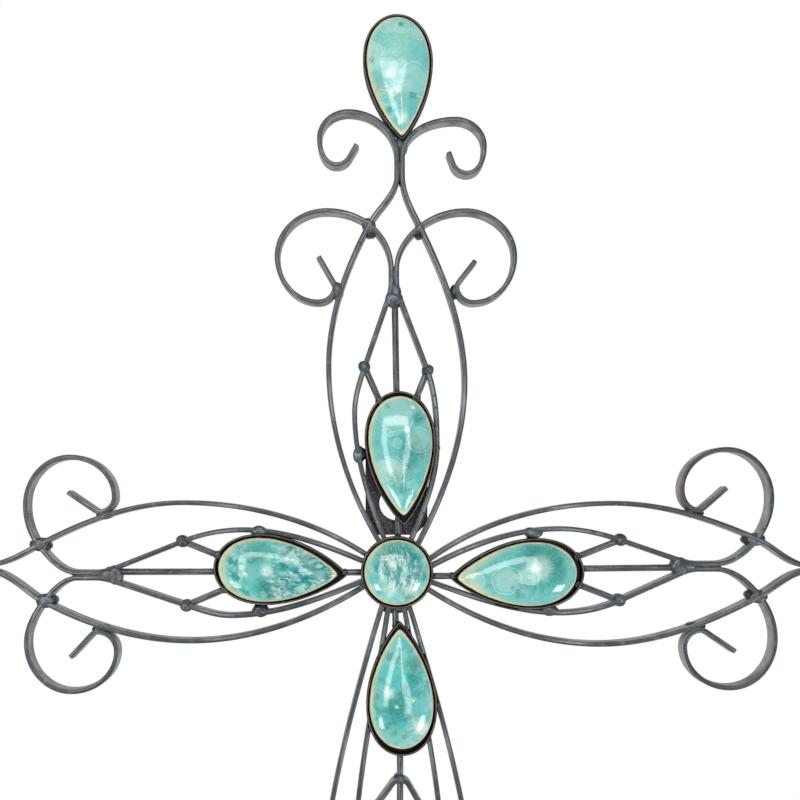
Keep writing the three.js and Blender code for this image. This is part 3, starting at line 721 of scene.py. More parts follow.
@cache
def steel_material():
    """Mill scale under clear lacquer: blue-grey on the front edges, and on the sides a paler warm grey
    that is a painted reflection of the bright room; pale streaks along the bar, rolling marks that
    are partly a painted sheen; brown where it was hot, with small dark pits and rolling lines along
    the bar."""
    material, tree, shader = new_material("lacquered_hot_rolled_steel")
    place = in_millimetres(tree)
    base = [*bpy.context.scene.wall_cross_colours.steel, 1]
    # Faces that do not look out of the wall take a paler warm grey: a painted reflection of the bright
    # room at the sides.
    colour = patched(tree, add(tree, "mix", linear("#bdb9b4"), base, facing_front(tree)), place, [
        ("#323a42", (11, 4, 0.6), (0.45, 0.66), 0.5),
        ("#7d858a", (7, 3), (0.54, 0.7), 0.4),
    ])
    # Pale streaks along the bar: rolling marks, and partly a painted sheen along the bar.
    streak_and_sheen_place = add(tree, "scaled", add(tree, "uv"), (25, 900, 0))
    colour = patched(tree, colour, streak_and_sheen_place, [("#98a0a5", (1, 2), (0.5, 0.68), 0.5)])
    broad = add(tree, "step", add(tree, "noise", place, 1 / 30, 3, 0.6, 0.6), 0.47, 0.66, 0, 0.5)
    heat = add(tree, "heat")
    uneven = add(tree, "step", add(tree, "noise", place, 1 / 6, 4), 0.35, 0.62, 0.1, 0.7)
    warm = add(tree, "times", heat, uneven)
    brown = add(tree, "larger", broad, warm)
    colour = add(tree, "mix", colour, linear("#5d4d45"), brown)
    pits = add(tree, "step", add(tree, "noise", place, 1 / 1.3, 2, 0.5), 0.68, 0.78)
    colour = add(tree, "mix", colour, linear("#23272b"), add(tree, "times", pits, 0.2))
    fill(tree, shader, {
        "Base Color": colour, "Metallic": 0.8, "Coat Weight": 0.15, "Coat Roughness": 0.3,
        "Roughness": add(tree, "step", add(tree, "noise", place, 1 / 6, 4), 0.35, 0.65, 0.36, 0.48)})
    lines = add(tree, "scaled", add(tree, "uv"), (30, 1600, 0))
    rolled = add(tree, "noise", lines, 1, 2)
    dents = add(tree, "times", pits, -0.003)
    height = add(tree, "plus", add(tree, "times", rolled, 0.0008), dents)
    wavy = add(tree, "times", add(tree, "noise", place, 1 / 9, 1), 0.08)
    fill(tree, shader, {"Normal": add(tree, "bump", add(tree, "plus", height, wavy), MM, 1.0)})
    return material


@cache
def weld_material():
    """Bare weld under the same lacquer: glossy, lumpy, with brown and grey tints, and painted shade,
    near black, where it lies below the bars' fronts."""
    material, tree, shader = new_material("arc_weld_bead")
    place = in_millimetres(tree)
    colour = patched(tree, linear("#3f484f"), place, [
        ("#5d666c", (6, 3), (0.4, 0.62), 1),
        ("#564a44", (9, 3), (0.5, 0.68), 0.5),
        ("#1b1e21", (2.5, 2), (0.62, 0.74), 0.6),
    ])
    # Painted shade: the weld turns near black the further it lies behind the bars' fronts.
    depth = add(tree, "y", place)
    painted_recess_shade = add(tree, "step", depth, BAR_FRONT + 0.6, BAR_FRONT + 2.4, 0, 0.85)
    colour = add(tree, "mix", colour, linear("#17191b"), painted_recess_shade)
    fill(tree, shader, {
        "Base Color": colour, "Metallic": 0.65, "Roughness": 0.38, "Coat Weight": 0.3,
        "Coat Roughness": 0.15})
    height = add(tree, "times", add(tree, "noise", place, 1 / 4, 2, 0.5), 0.25)
    fill(tree, shader, {"Normal": add(tree, "bump", height, MM, 1.0)})
    return material


@cache
def bezel_material():
    """Blackened steel, rubbed brown-grey along the rim. Its near-black on the inner wall and floor is
    also a painted shade in the gap round the stone.
    """
    material, tree, shader = new_material("blackened_bezel_steel_and_gap_shade")
    place = in_millimetres(tree)
    worn = add(tree, "step", add(tree, "noise", place, 1 / 3.5, 4, 0.6), 0.3, 0.5, 0.45, 1)
    depth = add(tree, "y", place)
    top = add(tree, "step", depth, CUP_FRONT + 0.3, CUP_FRONT + 1, 1, 0)
    rim = add(tree, "times", add(tree, "times", facing_front(tree), worn), top)
    tint = patched(tree, linear("#625c56"), place, [("#4f443b", (7, 3), (0.42, 0.6), 1)])
    # Near-black everywhere but the rim: blackened steel, and on the inner wall and floor a painted
    # shade in the gap round the stone.
    colour = add(tree, "mix", linear("#100f0e"), tint, rim)
    fill(tree, shader, {"Base Color": colour, "Metallic": 0.6, "Roughness": 0.42})
    height = add(tree, "times", add(tree, "noise", place, 1 / 1.2, 3), 0.08)
    fill(tree, shader, {"Normal": add(tree, "bump", height, MM, 1.0)})
    return material


@cache
def plate_material():
    """Hammertone enamel: dark brown-purple pools between lighter flecked ridges."""
    material, tree, shader = new_material("hammertone_enamel")
    place = in_millimetres(tree)
    ridge = add(tree, "step", add(tree, "cell walls", place, 1 / 2.6), 0.02, 0.22, 1, 0)
    colour = add(tree, "mix", linear("#2c282b"), linear("#5f5a60"), add(tree, "times", ridge, 0.5))
    colour = patched(tree, colour, place, [("#8f8a8c", (1.1, 3), (0.6, 0.7), 0.5)])
    fill(tree, shader, {"Base Color": colour, "Metallic": 0.3, "Roughness": 0.36})
    fill(tree, shader, {"Normal": add(tree, "bump", add(tree, "times", ridge, 0.12), MM, 1.0)})
    return material


def floor_material():
    """Matt pale studio floor."""
    material, tree, shader = new_material("pale_matt_floor")
    grain = add(tree, "noise", in_millimetres(tree), 1 / 2, 2)
    colour = add(tree, "mix", linear("#e6e6e3"), linear("#ededea"), grain)
    fill(tree, shader, {"Base Color": colour, "Roughness": 0.7})
    return material


def other_marks(marks):
    """The same marks turned over to the stone's other side."""
    return [(kind, along, -across, size) for kind, along, across, size in marks]


# Marks in the glaze, as (kind, along, across, size) in millimetres in the stone's own frame,
# from the tip of its cup; the round stone's from its middle. fan: where its feathers start and
# how far they run. depth: how much deep teal shows.
END_MARKS = [
    ("ring", 70.8, -4.6, 5.1), ("ring", 70.0, 4.2, 5.1), ("ring", 65.7, 13.8, 4.4),
    ("ring", 54.1, -16.8, 7.0), ("ring", 45.2, -3.4, 2.5), ("pool", 71.9, 3.4, 2.5),
    ("pool", 50.6, -16.4, 2.5), ("ring", 36, 9.5, 10.5), ("cloud", 40.2, -5.6, 4),
    ("cloud", 29.5, -3.5, 4), ("stain", 30.6, -14.7, 5.4), ("pool", 25.7, 7.9, 3.2),
    ("pool", 18.8, -6.8, 2.5), ("cloud", 12.9, 1.0, 4.8),
]
GLAZES = {
    "centre": dict(fan=(-24, 4, 46), depth=0.75, marks=[
        ("moss", 13, -1.4, 16), ("pool", 9, 9, 7), ("speck", 13.3, -7.7, 3.2),
        ("pool", 3.1, -10.9, 5.2), ("pool", -1, 14, 5), ("cloud", -7.9, 9.0, 6.5),
        ("cloud", -10, -4, 6), ("facets", 3, 2, 16), ("cloud", 6, -3, 4), ("pool", -3, 2, 4),
    ]),
    "top": dict(fan=(22, -12, 26), depth=0.25, marks=[
        ("pool", 48, 8, 13), ("pool", 36, 3, 8), ("moss", 28, -3, 7), ("ring", 71.4, -1.8, 12.1),
        ("ring", 53.1, 12.5, 7.6), ("ring", 36.3, -6.2, 7.6), ("ring", 51.3, -1.8, 2.9),
        ("cloud", 59.8, 4.4, 2.5), ("pool", 66.8, 12.2, 5.4), ("speck", 75.0, -7.0, 1.9),
        ("speck", 43.6, 13.9, 2.4), ("speck", 31.7, -3.9, 3.4), ("speck", 22.1, 0.3, 2.9),
        ("cloud", 74.7, 9.1, 1.9), ("ring", 57.7, -5.6, 1.9),
    ]),
    "left": dict(fan=(30, 1, 26), depth=0.9, marks=[
        ("pool", 47, -11, 11), ("pool", 24, 0, 16), ("moss", 52, -11, 8), ("moss", 57, 10, 11),
        ("facets", 27, 2, 23), ("facets", 44, -11, 11), ("speck", 64.8, 9.9, 2.5),
        ("cloud", 50, 0, 5), ("pool", 36, -10, 6),
    ]),
    "right": dict(fan=(56, -3, 10), depth=0.35, marks=[
        ("moss", 62, -11, 13), ("pool", 52, -14, 8), ("moss", 68, 0, 8), ("ring", 16.7, 2.4, 4.4),
        ("ring", 34.8, 3.3, 8.9), ("burst", 56.0, -3.5, 16), ("cloud", 54, -4, 4),
        ("pool", 68.4, -6.4, 4.8), ("speck", 38.7, 7.9, 1.8), ("speck", 41.1, 10.9, 1.8),
        ("speck", 40.9, 13.7, 1.5), ("speck", 66, 11, 1.8),
    ]),
    "lower": dict(fan=(68, -22, 24), depth=0.6, marks=[
        ("pool", 54, 3, 14), ("pool", 35.4, -7.7, 6.4), ("pool", 42.6, -2.8, 5.8), ("moss", 26, -8, 6),
        ("cloud", 44, 8, 5), ("speck", 28.0, -9.7, 3.4), ("speck", 65.3, 9.8, 2.2),
        ("speck", 69.5, 5.4, 2.4), ("speck", 71.9, -1.4, 1.8), ("speck", 59.7, -4.9, 1.8),
        ("speck", 46.0, 15.9, 2.2), ("cloud", 52.9, 3.5, 1.6), ("cloud", 48.8, -7.3, 1.3),
        ("stain", 39.9, 17.3, 2.2), ("cloud", 66.3, -12.1, 5.8),
    ]),
    "top_end": dict(fan=(34, -24, 34), depth=0.1, marks=[("mint", 60, 0, 20), *END_MARKS]),
    "left_end": dict(fan=(34, 24, 34), depth=0.3, marks=other_marks(END_MARKS)),
    "lower_end": dict(fan=(30, -24, 34), depth=0.3, marks=END_MARKS),
    "right_end": dict(fan=(36, 24, 34), depth=0.2, marks=other_marks(END_MARKS)),
}

# Kinds of dab: colour, how strongly it covers, and how soft its edge is as a share of its size
DABS = {
    "pool": ("#0e8683", 0.88, 0.8),
    "moss": ("#38907c", 0.75, 0.8),
    "mint": ("#a3d9c6", 0.65, 0.9),
    "cloud": ("#eaf3e8", 0.75, 0.8),
    "stain": ("#b39a62", 0.6, 0.8),
    "speck": ("#5d8f7b", 0.75, 0.45),
}


def stone_frame(stone, place, turn):
    """Start, axis and side of a stone's own frame in the cross's (x, z), in millimetres."""
    if place is None:
        start = placed([0, 0], turn)
        return start, placed([1, 0], turn) - start, placed([0, 1], turn) - start
    tip, lean = np.array(place[0], float), place[1]
    start, ahead = placed(tip, turn), heading(-lean)
    beside = np.array([-ahead[1], ahead[0]])
    return start, placed(tip + ahead, turn) - start, placed(tip + beside, turn) - start


def fan(tree, from_centre, lines, stretch):
    """Noise in fine lines that run out from a centre: so many to half a turn, each changing
    after a stretch of millimetres."""
    way = add(tree, "unit", from_centre)
    length = add(tree, "length", from_centre)
    out = add(tree, "point", 0, 0, add(tree, "divided", length, stretch))
    return add(tree, "noise", add(tree, "scaled, shifted", way, (lines,) * 3, out), 1, 3)


def offset(tree, spot, along, across):
    """The way and the distance from a place in the stone's own frame."""
    away = add(tree, "seen from", spot, (along, across, 0))
    away = add(tree, "scaled", away, (1, 1, 0))
    return away, add(tree, "length", away)


def laid_dab(tree, colour, spot, kind, distance, size):
    """A dab of glaze of another colour, its edge soft and its cover uneven."""
    tint, strength, soft = DABS[kind]
    share = add(tree, "step", distance, size * (1 - soft), size * 1.15, strength, 0)
    uneven = add(tree, "step", add(tree, "noise", spot, 1 / 1.8, 3, 0.6), 0.3, 0.6, 0.45, 1)
    return add(tree, "mix", colour, linear(tint), add(tree, "times", share, uneven))


def laid_ring(tree, colour, spot, distance, size):
    """A thin broken ring of pale crystal round a paler inside."""
    off = add(tree, "unsigned", add(tree, "minus", distance, size))
    line = add(tree, "step", off, 0.1, 0.55, 0.42, 0)
    broken = add(tree, "step", add(tree, "noise", spot, 1 / 6, 2), 0.3, 0.5, 0.3)
    inside = add(tree, "step", distance, size * 0.7, size, 0.22, 0)
    share = add(tree, "larger", add(tree, "times", line, broken), inside)
    return add(tree, "mix", colour, linear("#dcebdd"), share)


def laid_burst(tree, colour, away, distance, size):
    """Needles of pale crystal that run out from a place, with teal between them."""
    lines = fan(tree, away, 48, 5)
    teal = add(tree, "step", distance, size * 0.7, size * 1.3, 0.85, 0)
    teal = add(tree, "times", teal, add(tree, "step", lines, 0.6, 0.44))
    colour = add(tree, "mix", colour, linear("#2f8f80"), teal)
    share = add(tree, "step", distance, size * 0.1, size * 0.65, 0.5, 0)
    share = add(tree, "times", share, add(tree, "step", lines, 0.4, 0.56))
    return add(tree, "mix", colour, linear("#dff1ea"), share)


def laid_facets(tree, colour, spot, distance, size):
    """Small leaves of crystal, 1.5 mm wide and twice as long, some deep teal and some pale."""
    longer = add(tree, "scaled", spot, (0.5, 1, 0))
    shade = add(tree, "x", add(tree, "cells", longer, 1 / 1.5))
    share = add(tree, "step", distance, size * 0.6, size * 1.1, 0.9, 0)
    dark = add(tree, "times", share, add(tree, "step", shade, 0.6, 0.35))
    colour = add(tree, "mix", colour, linear("#087a78"), dark)
    pale = add(tree, "times", share, add(tree, "step", shade, 0.7, 0.95, 0, 0.4))
    return add(tree, "mix", colour, linear("#cfeee6"), pale)


def laid_mark(tree, colour, spot, mark):
    """One mark of crystal laid over the glaze's colour."""
    kind, along, across, size = mark
    away, distance = offset(tree, spot, along, across)
    if kind == "ring":
        return laid_ring(tree, colour, spot, distance, size)
    if kind == "burst":
        return laid_burst(tree, colour, away, distance, size)
    if kind == "facets":
        return laid_facets(tree, colour, spot, distance, size)
    return laid_dab(tree, colour, spot, kind, distance, size)


def glaze_body(tree, flowing, depth):
    """The glaze's own turquoise, lighter and mottled in broad patches, with deep teal between."""
    body = [*bpy.context.scene.wall_cross_colours.glaze, 1]
    broad = add(tree, "step", add(tree, "noise", flowing, 1 / 20, 2), 0.36, 0.62)
    return patched(tree, add(tree, "mix", linear("#52b9b5"), body, broad), flowing, [
        ("#9ad6ca", (8, 3, 0.5), (0.44, 0.66), 0.2 + 0.5 * depth),
        ("#168b87", (8, 4, 0.6, 0.8), (0.5, 0.64), depth),
    ])


def feathers(tree, spot, along, across, run):
    """How much the feathers of pale crystal cover that fan out from a place."""
    out, distance = offset(tree, spot, along, across)
    rays = add(tree, "step", fan(tree, out, 90, 5), 0.44, 0.62)
    patches = add(tree, "step", add(tree, "noise", spot, 1 / 8, 2), 0.36, 0.6, 0, 0.6)
    near = add(tree, "step", distance, run * 0.6, run * 1.1, 1, 0)
    return add(tree, "times", add(tree, "times", rays, patches), near)


def thin_edge(tree, colour, spot, aside):
    """The stone's edge, where the glaze ran thin: yellow-green far in on the left, cream, and
    brown at the very rim. The UV's second part is the share of the way out from the heart."""
    share = add(tree, "y", add(tree, "uv"))
    uneven = add(tree, "times", add(tree, "minus", add(tree, "noise", spot, 1 / 6, 3), 0.5), 0.1)
    edge = add(tree, "plus", share, uneven)
    left = add(tree, "dot", aside, (-0.004, 0, 0))
    thin = add(tree, "step", add(tree, "plus", edge, left), 0.86, 1.06, 0, 0.6)
    colour = add(tree, "mix", colour, linear("#cfd3a6"), thin)
    colour = add(tree, "mix", colour, linear("#e2dcb8"), add(tree, "step", edge, 0.935, 0.98, 0, 0.85))
    return add(tree, "mix", colour, linear("#7d6c50"), add(tree, "step", edge, 0.99, 1.012, 0, 0.7))


def glaze_material(name, stone, place, turn):
    """Crystalline glaze: turquoise of uneven depth, with feathers of pale crystal fanning out from
    the stone's heart, pools, rings and specks, and a cream edge where the glaze ran thin."""
    material, tree, shader = new_material(f"turquoise_crystal_glaze_{name}")
    start, axis, side = stone_frame(stone, place, turn)
    moved = add(tree, "seen from", in_millimetres(tree), (start[0], 0, start[1]))
    along, across = (
        add(tree, "dot", moved, (way[0], 0, way[1]))
        for way in (axis, side))
    look, seed = GLAZES[name], 17.0 * list(GLAZES).index(name)
    spot = add(tree, "point", along, across, seed)
    ripple = add(tree, "seen from", add(tree, "noisy colour", spot, 1 / 7, 2), (0.5,) * 3)
    flowing = add(tree, "shifted", spot, add(tree, "scaled", ripple, (4, 4, 0)))

    colour = glaze_body(tree, flowing, look["depth"])
    for mark in look["marks"]:
        colour = laid_mark(tree, colour, flowing, mark)
    colour = add(tree, "mix", colour, linear("#dcefe6"), feathers(tree, spot, *look["fan"]))
    colour = patched(tree, colour, spot, [
        ("#f2fbf4", (0.55, 2, 0.5), (0.6, 0.72), 0.15),
        ("#1f8684", (0.55, 2, 0.5), (0.4, 0.28), 0.15),
    ])
    heart = axis * stone.length * HEART if place else axis * 0
    aside = add(tree, "seen from", moved, (heart[0], 0, heart[1]))
    fill(tree, shader, {
        "Base Color": thin_edge(tree, colour, spot, aside), "Roughness": 0.1, "IOR": 1.55,
        "Coat Weight": 0.35, "Coat Roughness": 0.03})
    swell = add(tree, "times", add(tree, "noise", spot, 1 / 14, 1), 0.4)
    grain = add(tree, "times", add(tree, "noise", spot, 1 / 1.1, 2), 0.02)
    fill(tree, shader, {"Normal": add(tree, "bump", add(tree, "plus", swell, grain), MM, 1.0)})
    return material


def add_steel(node, ending, part, hot):
    """A bar or rod of steel in place of its solid, tinted by the heat of the welds near it."""
    mesh = closed_mesh(f"{node}_{ending}", [part], steel_material())
    add_heat(mesh, hot)
    add_piece(mesh, [node])


class WALLCROSS_OT_bend_bars(bpy.types.Operator):
    """Bends the sixteen flat bars and the arch, and stands them in for their solids"""

    bl_idname = "wallcross.bend_bars"
    bl_label = "Bend Bars"

    def execute(self, context):
        sizes = millimetres(context)
        paths = bar_paths(sizes)
        hot = weld_middles(paths, sizes)
        for arm in ARMS:
            cups = arm_cups(arm)
            for sign, name in zip((-1, 1), arm["sides"]):
                cross = arm[name]["cross"]
                at = np.array([arm["reach"] + cross[0], sign * cross[1]])
                for kind, dip in (("outer", None), ("inner", (at, BAR_DIP))):
                    path = paths[arm["name"], name, kind]
                    swept = sweep_bar(path, arm["turn"], sizes, cups, dip)
                    add_steel(f"{arm['name']}_{name}_{kind}_bar", "bent", swept, hot)
        for arm in ARMS:
            if "arch" in arm:
                swept = sweep_bar(arch_path(arm, paths, sizes), arm["turn"], sizes, [])
                add_steel(f"{arm['name']}_arch", "bent", swept, hot)
        return {"FINISHED"}


def arch_crown(arm):
    """The crown of the arch over the long arm's rod."""
    up, across = arm["arch"][0]
    return arm["cup"][0][0] + CUP_LENGTH + up, across


def arch_path(arm, paths, sizes):
    """The arch over the long arm's rod: straight legs to the inner bars, a tight round crown."""
    crown, spread = np.array(arch_crown(arm)), arm["arch"][1]
    legs = []
    for sign, name, degrees in zip((-1, 1), arm["sides"], spread):
        lean = math.radians(degrees)
        shoulder = crown + np.array(
            [CROWN_RADIUS * (1 - math.sin(lean)), sign * CROWN_RADIUS * math.cos(lean)])
        places = paths[arm["name"], name, "inner"][0]
        leg = shoulder[1] + sign * (places[:, 0] - shoulder[0]) * math.tan(lean)
        past = (places[:, 0] > shoulder[0]) & (sign * (leg - places[:, 1]) > 0)
        foot = places[int(np.argmax(past))]
        legs.append((shoulder, foot))
    (near, near_foot), (away, away_foot) = legs
    return smooth_path([
        (*away_foot, 180 + spread[1]),
        (*away, 180 + spread[1]),
        (*crown, 270),
        (*near, 360 - spread[0]),
        (*near_foot, 360 - spread[0]),
    ], sizes.bar_step)


# Places tried along a rod's line for where it comes into a cup
MEET_STEPS = 400


def meet_cup(start, far, cup):
    """Where the line from start to far comes into the middle of a cup's wall."""
    stone, place = cup
    play = STONE_PLAY + CUP_WALL / 2
    points = np.linspace(start, far, MEET_STEPS)
    along, across = drop_local(points, place, CUP_WALL / 2)
    q = along / (stone.length + 2 * (stone.end_play + play))
    inside = (q > 0) & (q < 1) & (np.abs(across) < drop_half(q, stone.width / 2 + play))
    return points[int(np.argmax(inside))]


def arm_rods(arm, sizes):
    """Both ends of an arm's rods and struts, by name."""
    name, cup = arm["name"], arm_cups(arm)[0]
    tip, cup_end = arm["cup"][0], arm["cup"][0][0] + CUP_LENGTH
    middle = (cup_end - CUP_LENGTH / 2, arm["rod"][0])
    root = (CUP_RADIUS - CUP_WALL / 2, arm["stub"][0])
    apex = (arm["reach"] + arm["inner"][0][0] - ROD_STOP, arm["rod"][1])
    inside_tip = (tip[0] + STUB_SINK, arm["stub"][1])
    rods = {f"{name}_root_rod": (root, meet_cup(root, inside_tip, cup))}
    if "arch" in arm:
        crown = arch_crown(arm)
        rods[f"{name}_short_rod"] = (meet_cup(crown, middle, cup), crown)
        rods[f"{name}_centre_rod"] = (crown, apex)
    else:
        rods[f"{name}_centre_rod"] = (meet_cup(apex, middle, cup), apex)
    for sign, side_name in zip((-1, 1), arm["sides"]):
        side = arm[side_name]
        if "strut" not in side:
            continue
        knob = leg_of(arm, side, sign, sizes.bar_thick)[0]
        strut = np.array([cup_end + side["strut"][0], sign * side["strut"][1]])
        start = np.array([knob[0], sign * knob[1]])
        inside = strut + (strut - start) / np.linalg.norm(strut - start) * STUB_SINK
        rods[f"{name}_{side_name}_strut"] = (start, meet_cup(start, inside, cup))
    return rods


class WALLCROSS_OT_set_rods(bpy.types.Operator):
    """Sets the round rods and struts between the cups and the bars"""

    bl_idname = "wallcross.set_rods"
    bl_label = "Set Rods"

    def execute(self, context):
        sizes = millimetres(context)
        hot = weld_middles(bar_paths(sizes), sizes)
        radius = (ROD_BACK - ROD_FRONT) / 2
        for arm in ARMS:
            for node, (start, end) in arm_rods(arm, sizes).items():
                rod = round_rod(start, end, arm["turn"], radius)
                add_steel(node, "round", rod, hot)
        return {"FINISHED"}


# Kinds of weld, in millimetres: how far it lies from its joint along and across the arm, its half
# sizes, and how far its front lies behind the bars' fronts
WELD_KINDS = {
    "crossing": (-0.6, 0, 5.9, 4.4, -0.25),
    "crossing_web": (-4, -0.8, 4.2, 3.4, 1.7),
    "foot": (-2.4, 0, 6, 3.6, 1.6),
    "knob": (0, 0, 4.2, 4, -1.3),
    "lug": (0, 0, 5.6, 3.6, -0.5),
    "lug_web": (0, -2, 4, 3.4, 0.6),
    "apex": (-10, 0, 8, 4.6, -0.9),
    "apex_web": (-12.5, 0, 5.2, 5.8, -0.8),
    "end_tip": (-2.5, 0, 6.4, 4.4, 1.5),
    "arch_crown": (0, 0, 3.4, 3.6, -0.4),
}
# The seam between twin bars: its half width, its sink, and its half length as shares of how long
# the inner and the outer bars touch
SEAM_HALF_WIDTH = 1
SEAM_SINK = 0.8
SEAM_SHARES = (0.85, 0.9)
# The bead at a rod's outer end: its radius, for a root rod and another, and how far it stands proud
ROOT_BEAD = 2.2
ROD_BEAD = 2.9
BEAD_PROUD = 0.4


def weld(kind, along, across, share=1.0, sink=None):
    """A weld at a joint as (along, across, half along, half across, front). A share sizes it, and
    a sink takes the place of its kind's own."""
    off_along, off_across, half_along, half_across, own_sink = WELD_KINDS[kind]
    front = BAR_FRONT + (own_sink if sink is None else sink)
    return along + off_along, across + off_across, half_along * share, half_across * share, front


def seam(reach, twins, share):
    """The weld between twin bars along their touch."""
    (first, last), across = twins
    middle = reach + (first + last) / 2
    return middle, across, (last - first) * share, SEAM_HALF_WIDTH, BAR_FRONT + SEAM_SINK


def side_welds(arm, side, sign, outer, sizes):
    """The welds on one side of an arm: where the bars cross, where the scroll comes back, at the
    knob and at the cup."""
    cross, foot_share, lug_share = side.get("beads", (1, 1, 1))
    joint = (arm["reach"] + side["cross"][0], side["cross"][1])
    foot = foot_of(arm, side, outer, sizes.bar_thick)
    knob = leg_of(arm, side, 1, sizes.bar_thick)[0]
    found = [
        weld("crossing", *joint, cross),
        weld("crossing_web", *joint, cross),
        weld("foot", foot[0], foot[1] - sizes.bar_thick / 2, foot_share, side.get("foot_sink")),
        weld("knob", knob[0], side["knob"][1]),
    ]
    if "lug" in side:
        found += [weld("lug", *side["lug"], lug_share), weld("lug_web", *side["lug"], lug_share)]
    return [(along, sign * across, *size) for along, across, *size in found]


def arm_welds(arm, paths, sizes):
    """All the welds of an arm, as (along, across, half along, half across, front)."""
    reach, tip = arm["reach"], arm["end"][0]
    apex = (reach + arm["inner"][0][0], arm["inner"][1])
    found = [
        weld("apex", *apex),
        weld("apex_web", *apex),
        weld("end_tip", reach + tip[0], tip[1]),
        seam(reach, arm["inner"], SEAM_SHARES[0]),
        seam(reach, arm["outer"], SEAM_SHARES[1]),
    ]
    if "seam" in arm:
        found.append(arm["seam"])
    if "arch" in arm:
        found.append(weld("arch_crown", *arch_crown(arm)))
    for sign, name in zip((-1, 1), arm["sides"]):
        path = mirrored(paths[arm["name"], name, "outer"], sign)
        found += side_welds(arm, arm[name], sign, path, sizes)
    for name, (start, end) in arm_rods(arm, sizes).items():
        size = ROOT_BEAD if name.endswith("root_rod") else ROD_BEAD
        found.append((*end, size, size, ROD_FRONT - BEAD_PROUD))
    return found


def weld_middles(paths, sizes):
    """Where the welds of the whole cross lie, as (x, z) in millimetres."""
    flat = [placed([found[:2]], arm["turn"]) for arm in ARMS
            for found in arm_welds(arm, paths, sizes)]
    return np.vstack(flat)


# A lump's rings and sides, the angle that its poles leave open, how many waves make it uneven,
# how close and how high they are, how far it may bulge, and where its back lies
LUMP_RINGS, LUMP_SIDES = 17, 28
LUMP_POLE = 0.05
LUMP_WAVES = 8
WAVE_SPREAD = 1.7
WAVE_HEIGHT = 0.3
MOST_BULGE = 1.04
LUMP_BACK = BAR_BACK - 1
# How flat a lump's front is, as a power: 1 a ball, 0 a flat disc. Webs lie between the bars and
# wide welds over them; a web's front lies further back and a wide weld's half length is more
BALL_POWER, WIDE_POWER, WEB_POWER = 0.6, 0.3, 0.25
WEB_BEHIND = 1
WIDE_WELD = 4.8
# Spatter: how far from a weld it flies and how near it lies, drops to a bar, their sizes, how far
# off a bar's middle they land, and how tall they stand for their size
SPATTER_REACH = 30
SPATTER_CLEAR = 5
SPATTER_DROPS = 5
SPATTER_SIZES = (0.35, 0.85)
SPATTER_STRAY = 1
SPATTER_HEIGHT = 0.8
WELD_SEED = 5


def weld_lump(place, half, turn, front, rng, power=BALL_POWER):
    """A lump of weld: an ellipsoid, flattened in front by a power of the direction's depth, whose
    radius is 1 + 0.3 mean(sin(k n + p)) over eight waves, n the direction, k and p at random."""
    polar = np.linspace(LUMP_POLE, math.pi - LUMP_POLE, LUMP_RINGS)[:, None]
    angle = turns(LUMP_SIDES)
    n = np.stack(np.broadcast_arrays(
        np.sin(polar) * np.cos(angle), np.sin(polar) * np.sin(angle), np.cos(polar)), -1)
    waves = rng.normal(size=(LUMP_WAVES, 3)) * WAVE_SPREAD
    shifts = rng.uniform(0, 2 * np.pi, LUMP_WAVES)
    radius = 1 + WAVE_HEIGHT * np.sin(n @ waves.T + shifts).mean(-1)
    flat = np.array(place) + n[..., :2] * radius[..., None] * half
    deep = (LUMP_BACK - front) / 2
    bulge = np.sign(n[..., 2]) * np.abs(n[..., 2]) ** power
    grid = standing(flat, turn, front + deep - deep * bulge * np.minimum(radius, MOST_BULGE))
    uv = np.stack(np.broadcast_arrays(polar / math.pi, angle / (2 * np.pi)), -1)
    return grid, uv


def lump_of(found, turn, rng):
    """The lump of a weld, flatter where it is a web or wide."""
    along, across, half_along, half_across, front = found
    power = WIDE_POWER if half_along > WIDE_WELD else BALL_POWER
    if front > BAR_FRONT + WEB_BEHIND:
        power = WEB_POWER
    half = np.array([half_along, half_across])
    return weld_lump((along, across), half, turn, front, rng, power)


def spatter(arm, paths, welds, rng):
    """Small drops of weld that landed on the fronts of an arm's bars, near its welds."""
    drops = []
    middles = np.array([found[:2] for found in welds])
    for (name, side, kind), (places, normals) in paths.items():
        if name != arm["name"]:
            continue
        near = np.linalg.norm(places[:, None] - middles, axis=-1).min(axis=1)
        usable = np.flatnonzero((near < SPATTER_REACH) & (near > SPATTER_CLEAR))
        for i in rng.choice(usable, SPATTER_DROPS, replace=False):
            size = rng.uniform(*SPATTER_SIZES)
            at = places[i] + normals[i] * rng.uniform(-SPATTER_STRAY, SPATTER_STRAY)
            drops.append(spatter_drop(at, size, arm["turn"], rng))
    return drops


def spatter_drop(place, size, turn, rng):
    """A drop of weld that stands on a bar's front: a slightly flattened ball."""
    grid, uv = weld_lump(place, (size, size), turn, BAR_FRONT, rng)
    middle = grid[..., 1].mean()
    share = size / ((LUMP_BACK - BAR_FRONT) / 2) * SPATTER_HEIGHT
    grid[..., 1] = BAR_FRONT + (grid[..., 1] - middle) * share
    return grid, uv


class WALLCROSS_OT_lay_welds(bpy.types.Operator):
    """Lays the weld lumps, knobs and spatter where bars, rods and cups meet"""

    bl_idname = "wallcross.lay_welds"
    bl_label = "Lay Welds"

    def execute(self, context):
        sizes = millimetres(context)
        paths = bar_paths(sizes)
        for number, arm in enumerate(ARMS):
            rng = np.random.default_rng(WELD_SEED + number)
            welds = arm_welds(arm, paths, sizes)
            lumps = [lump_of(found, arm["turn"], rng) for found in welds]
            lumps += spatter(arm, paths, welds, rng)
            mesh = closed_mesh(f"{arm['name']}_welds_laid", lumps, weld_material())
            add_piece(mesh, [])
        return {"FINISHED"}


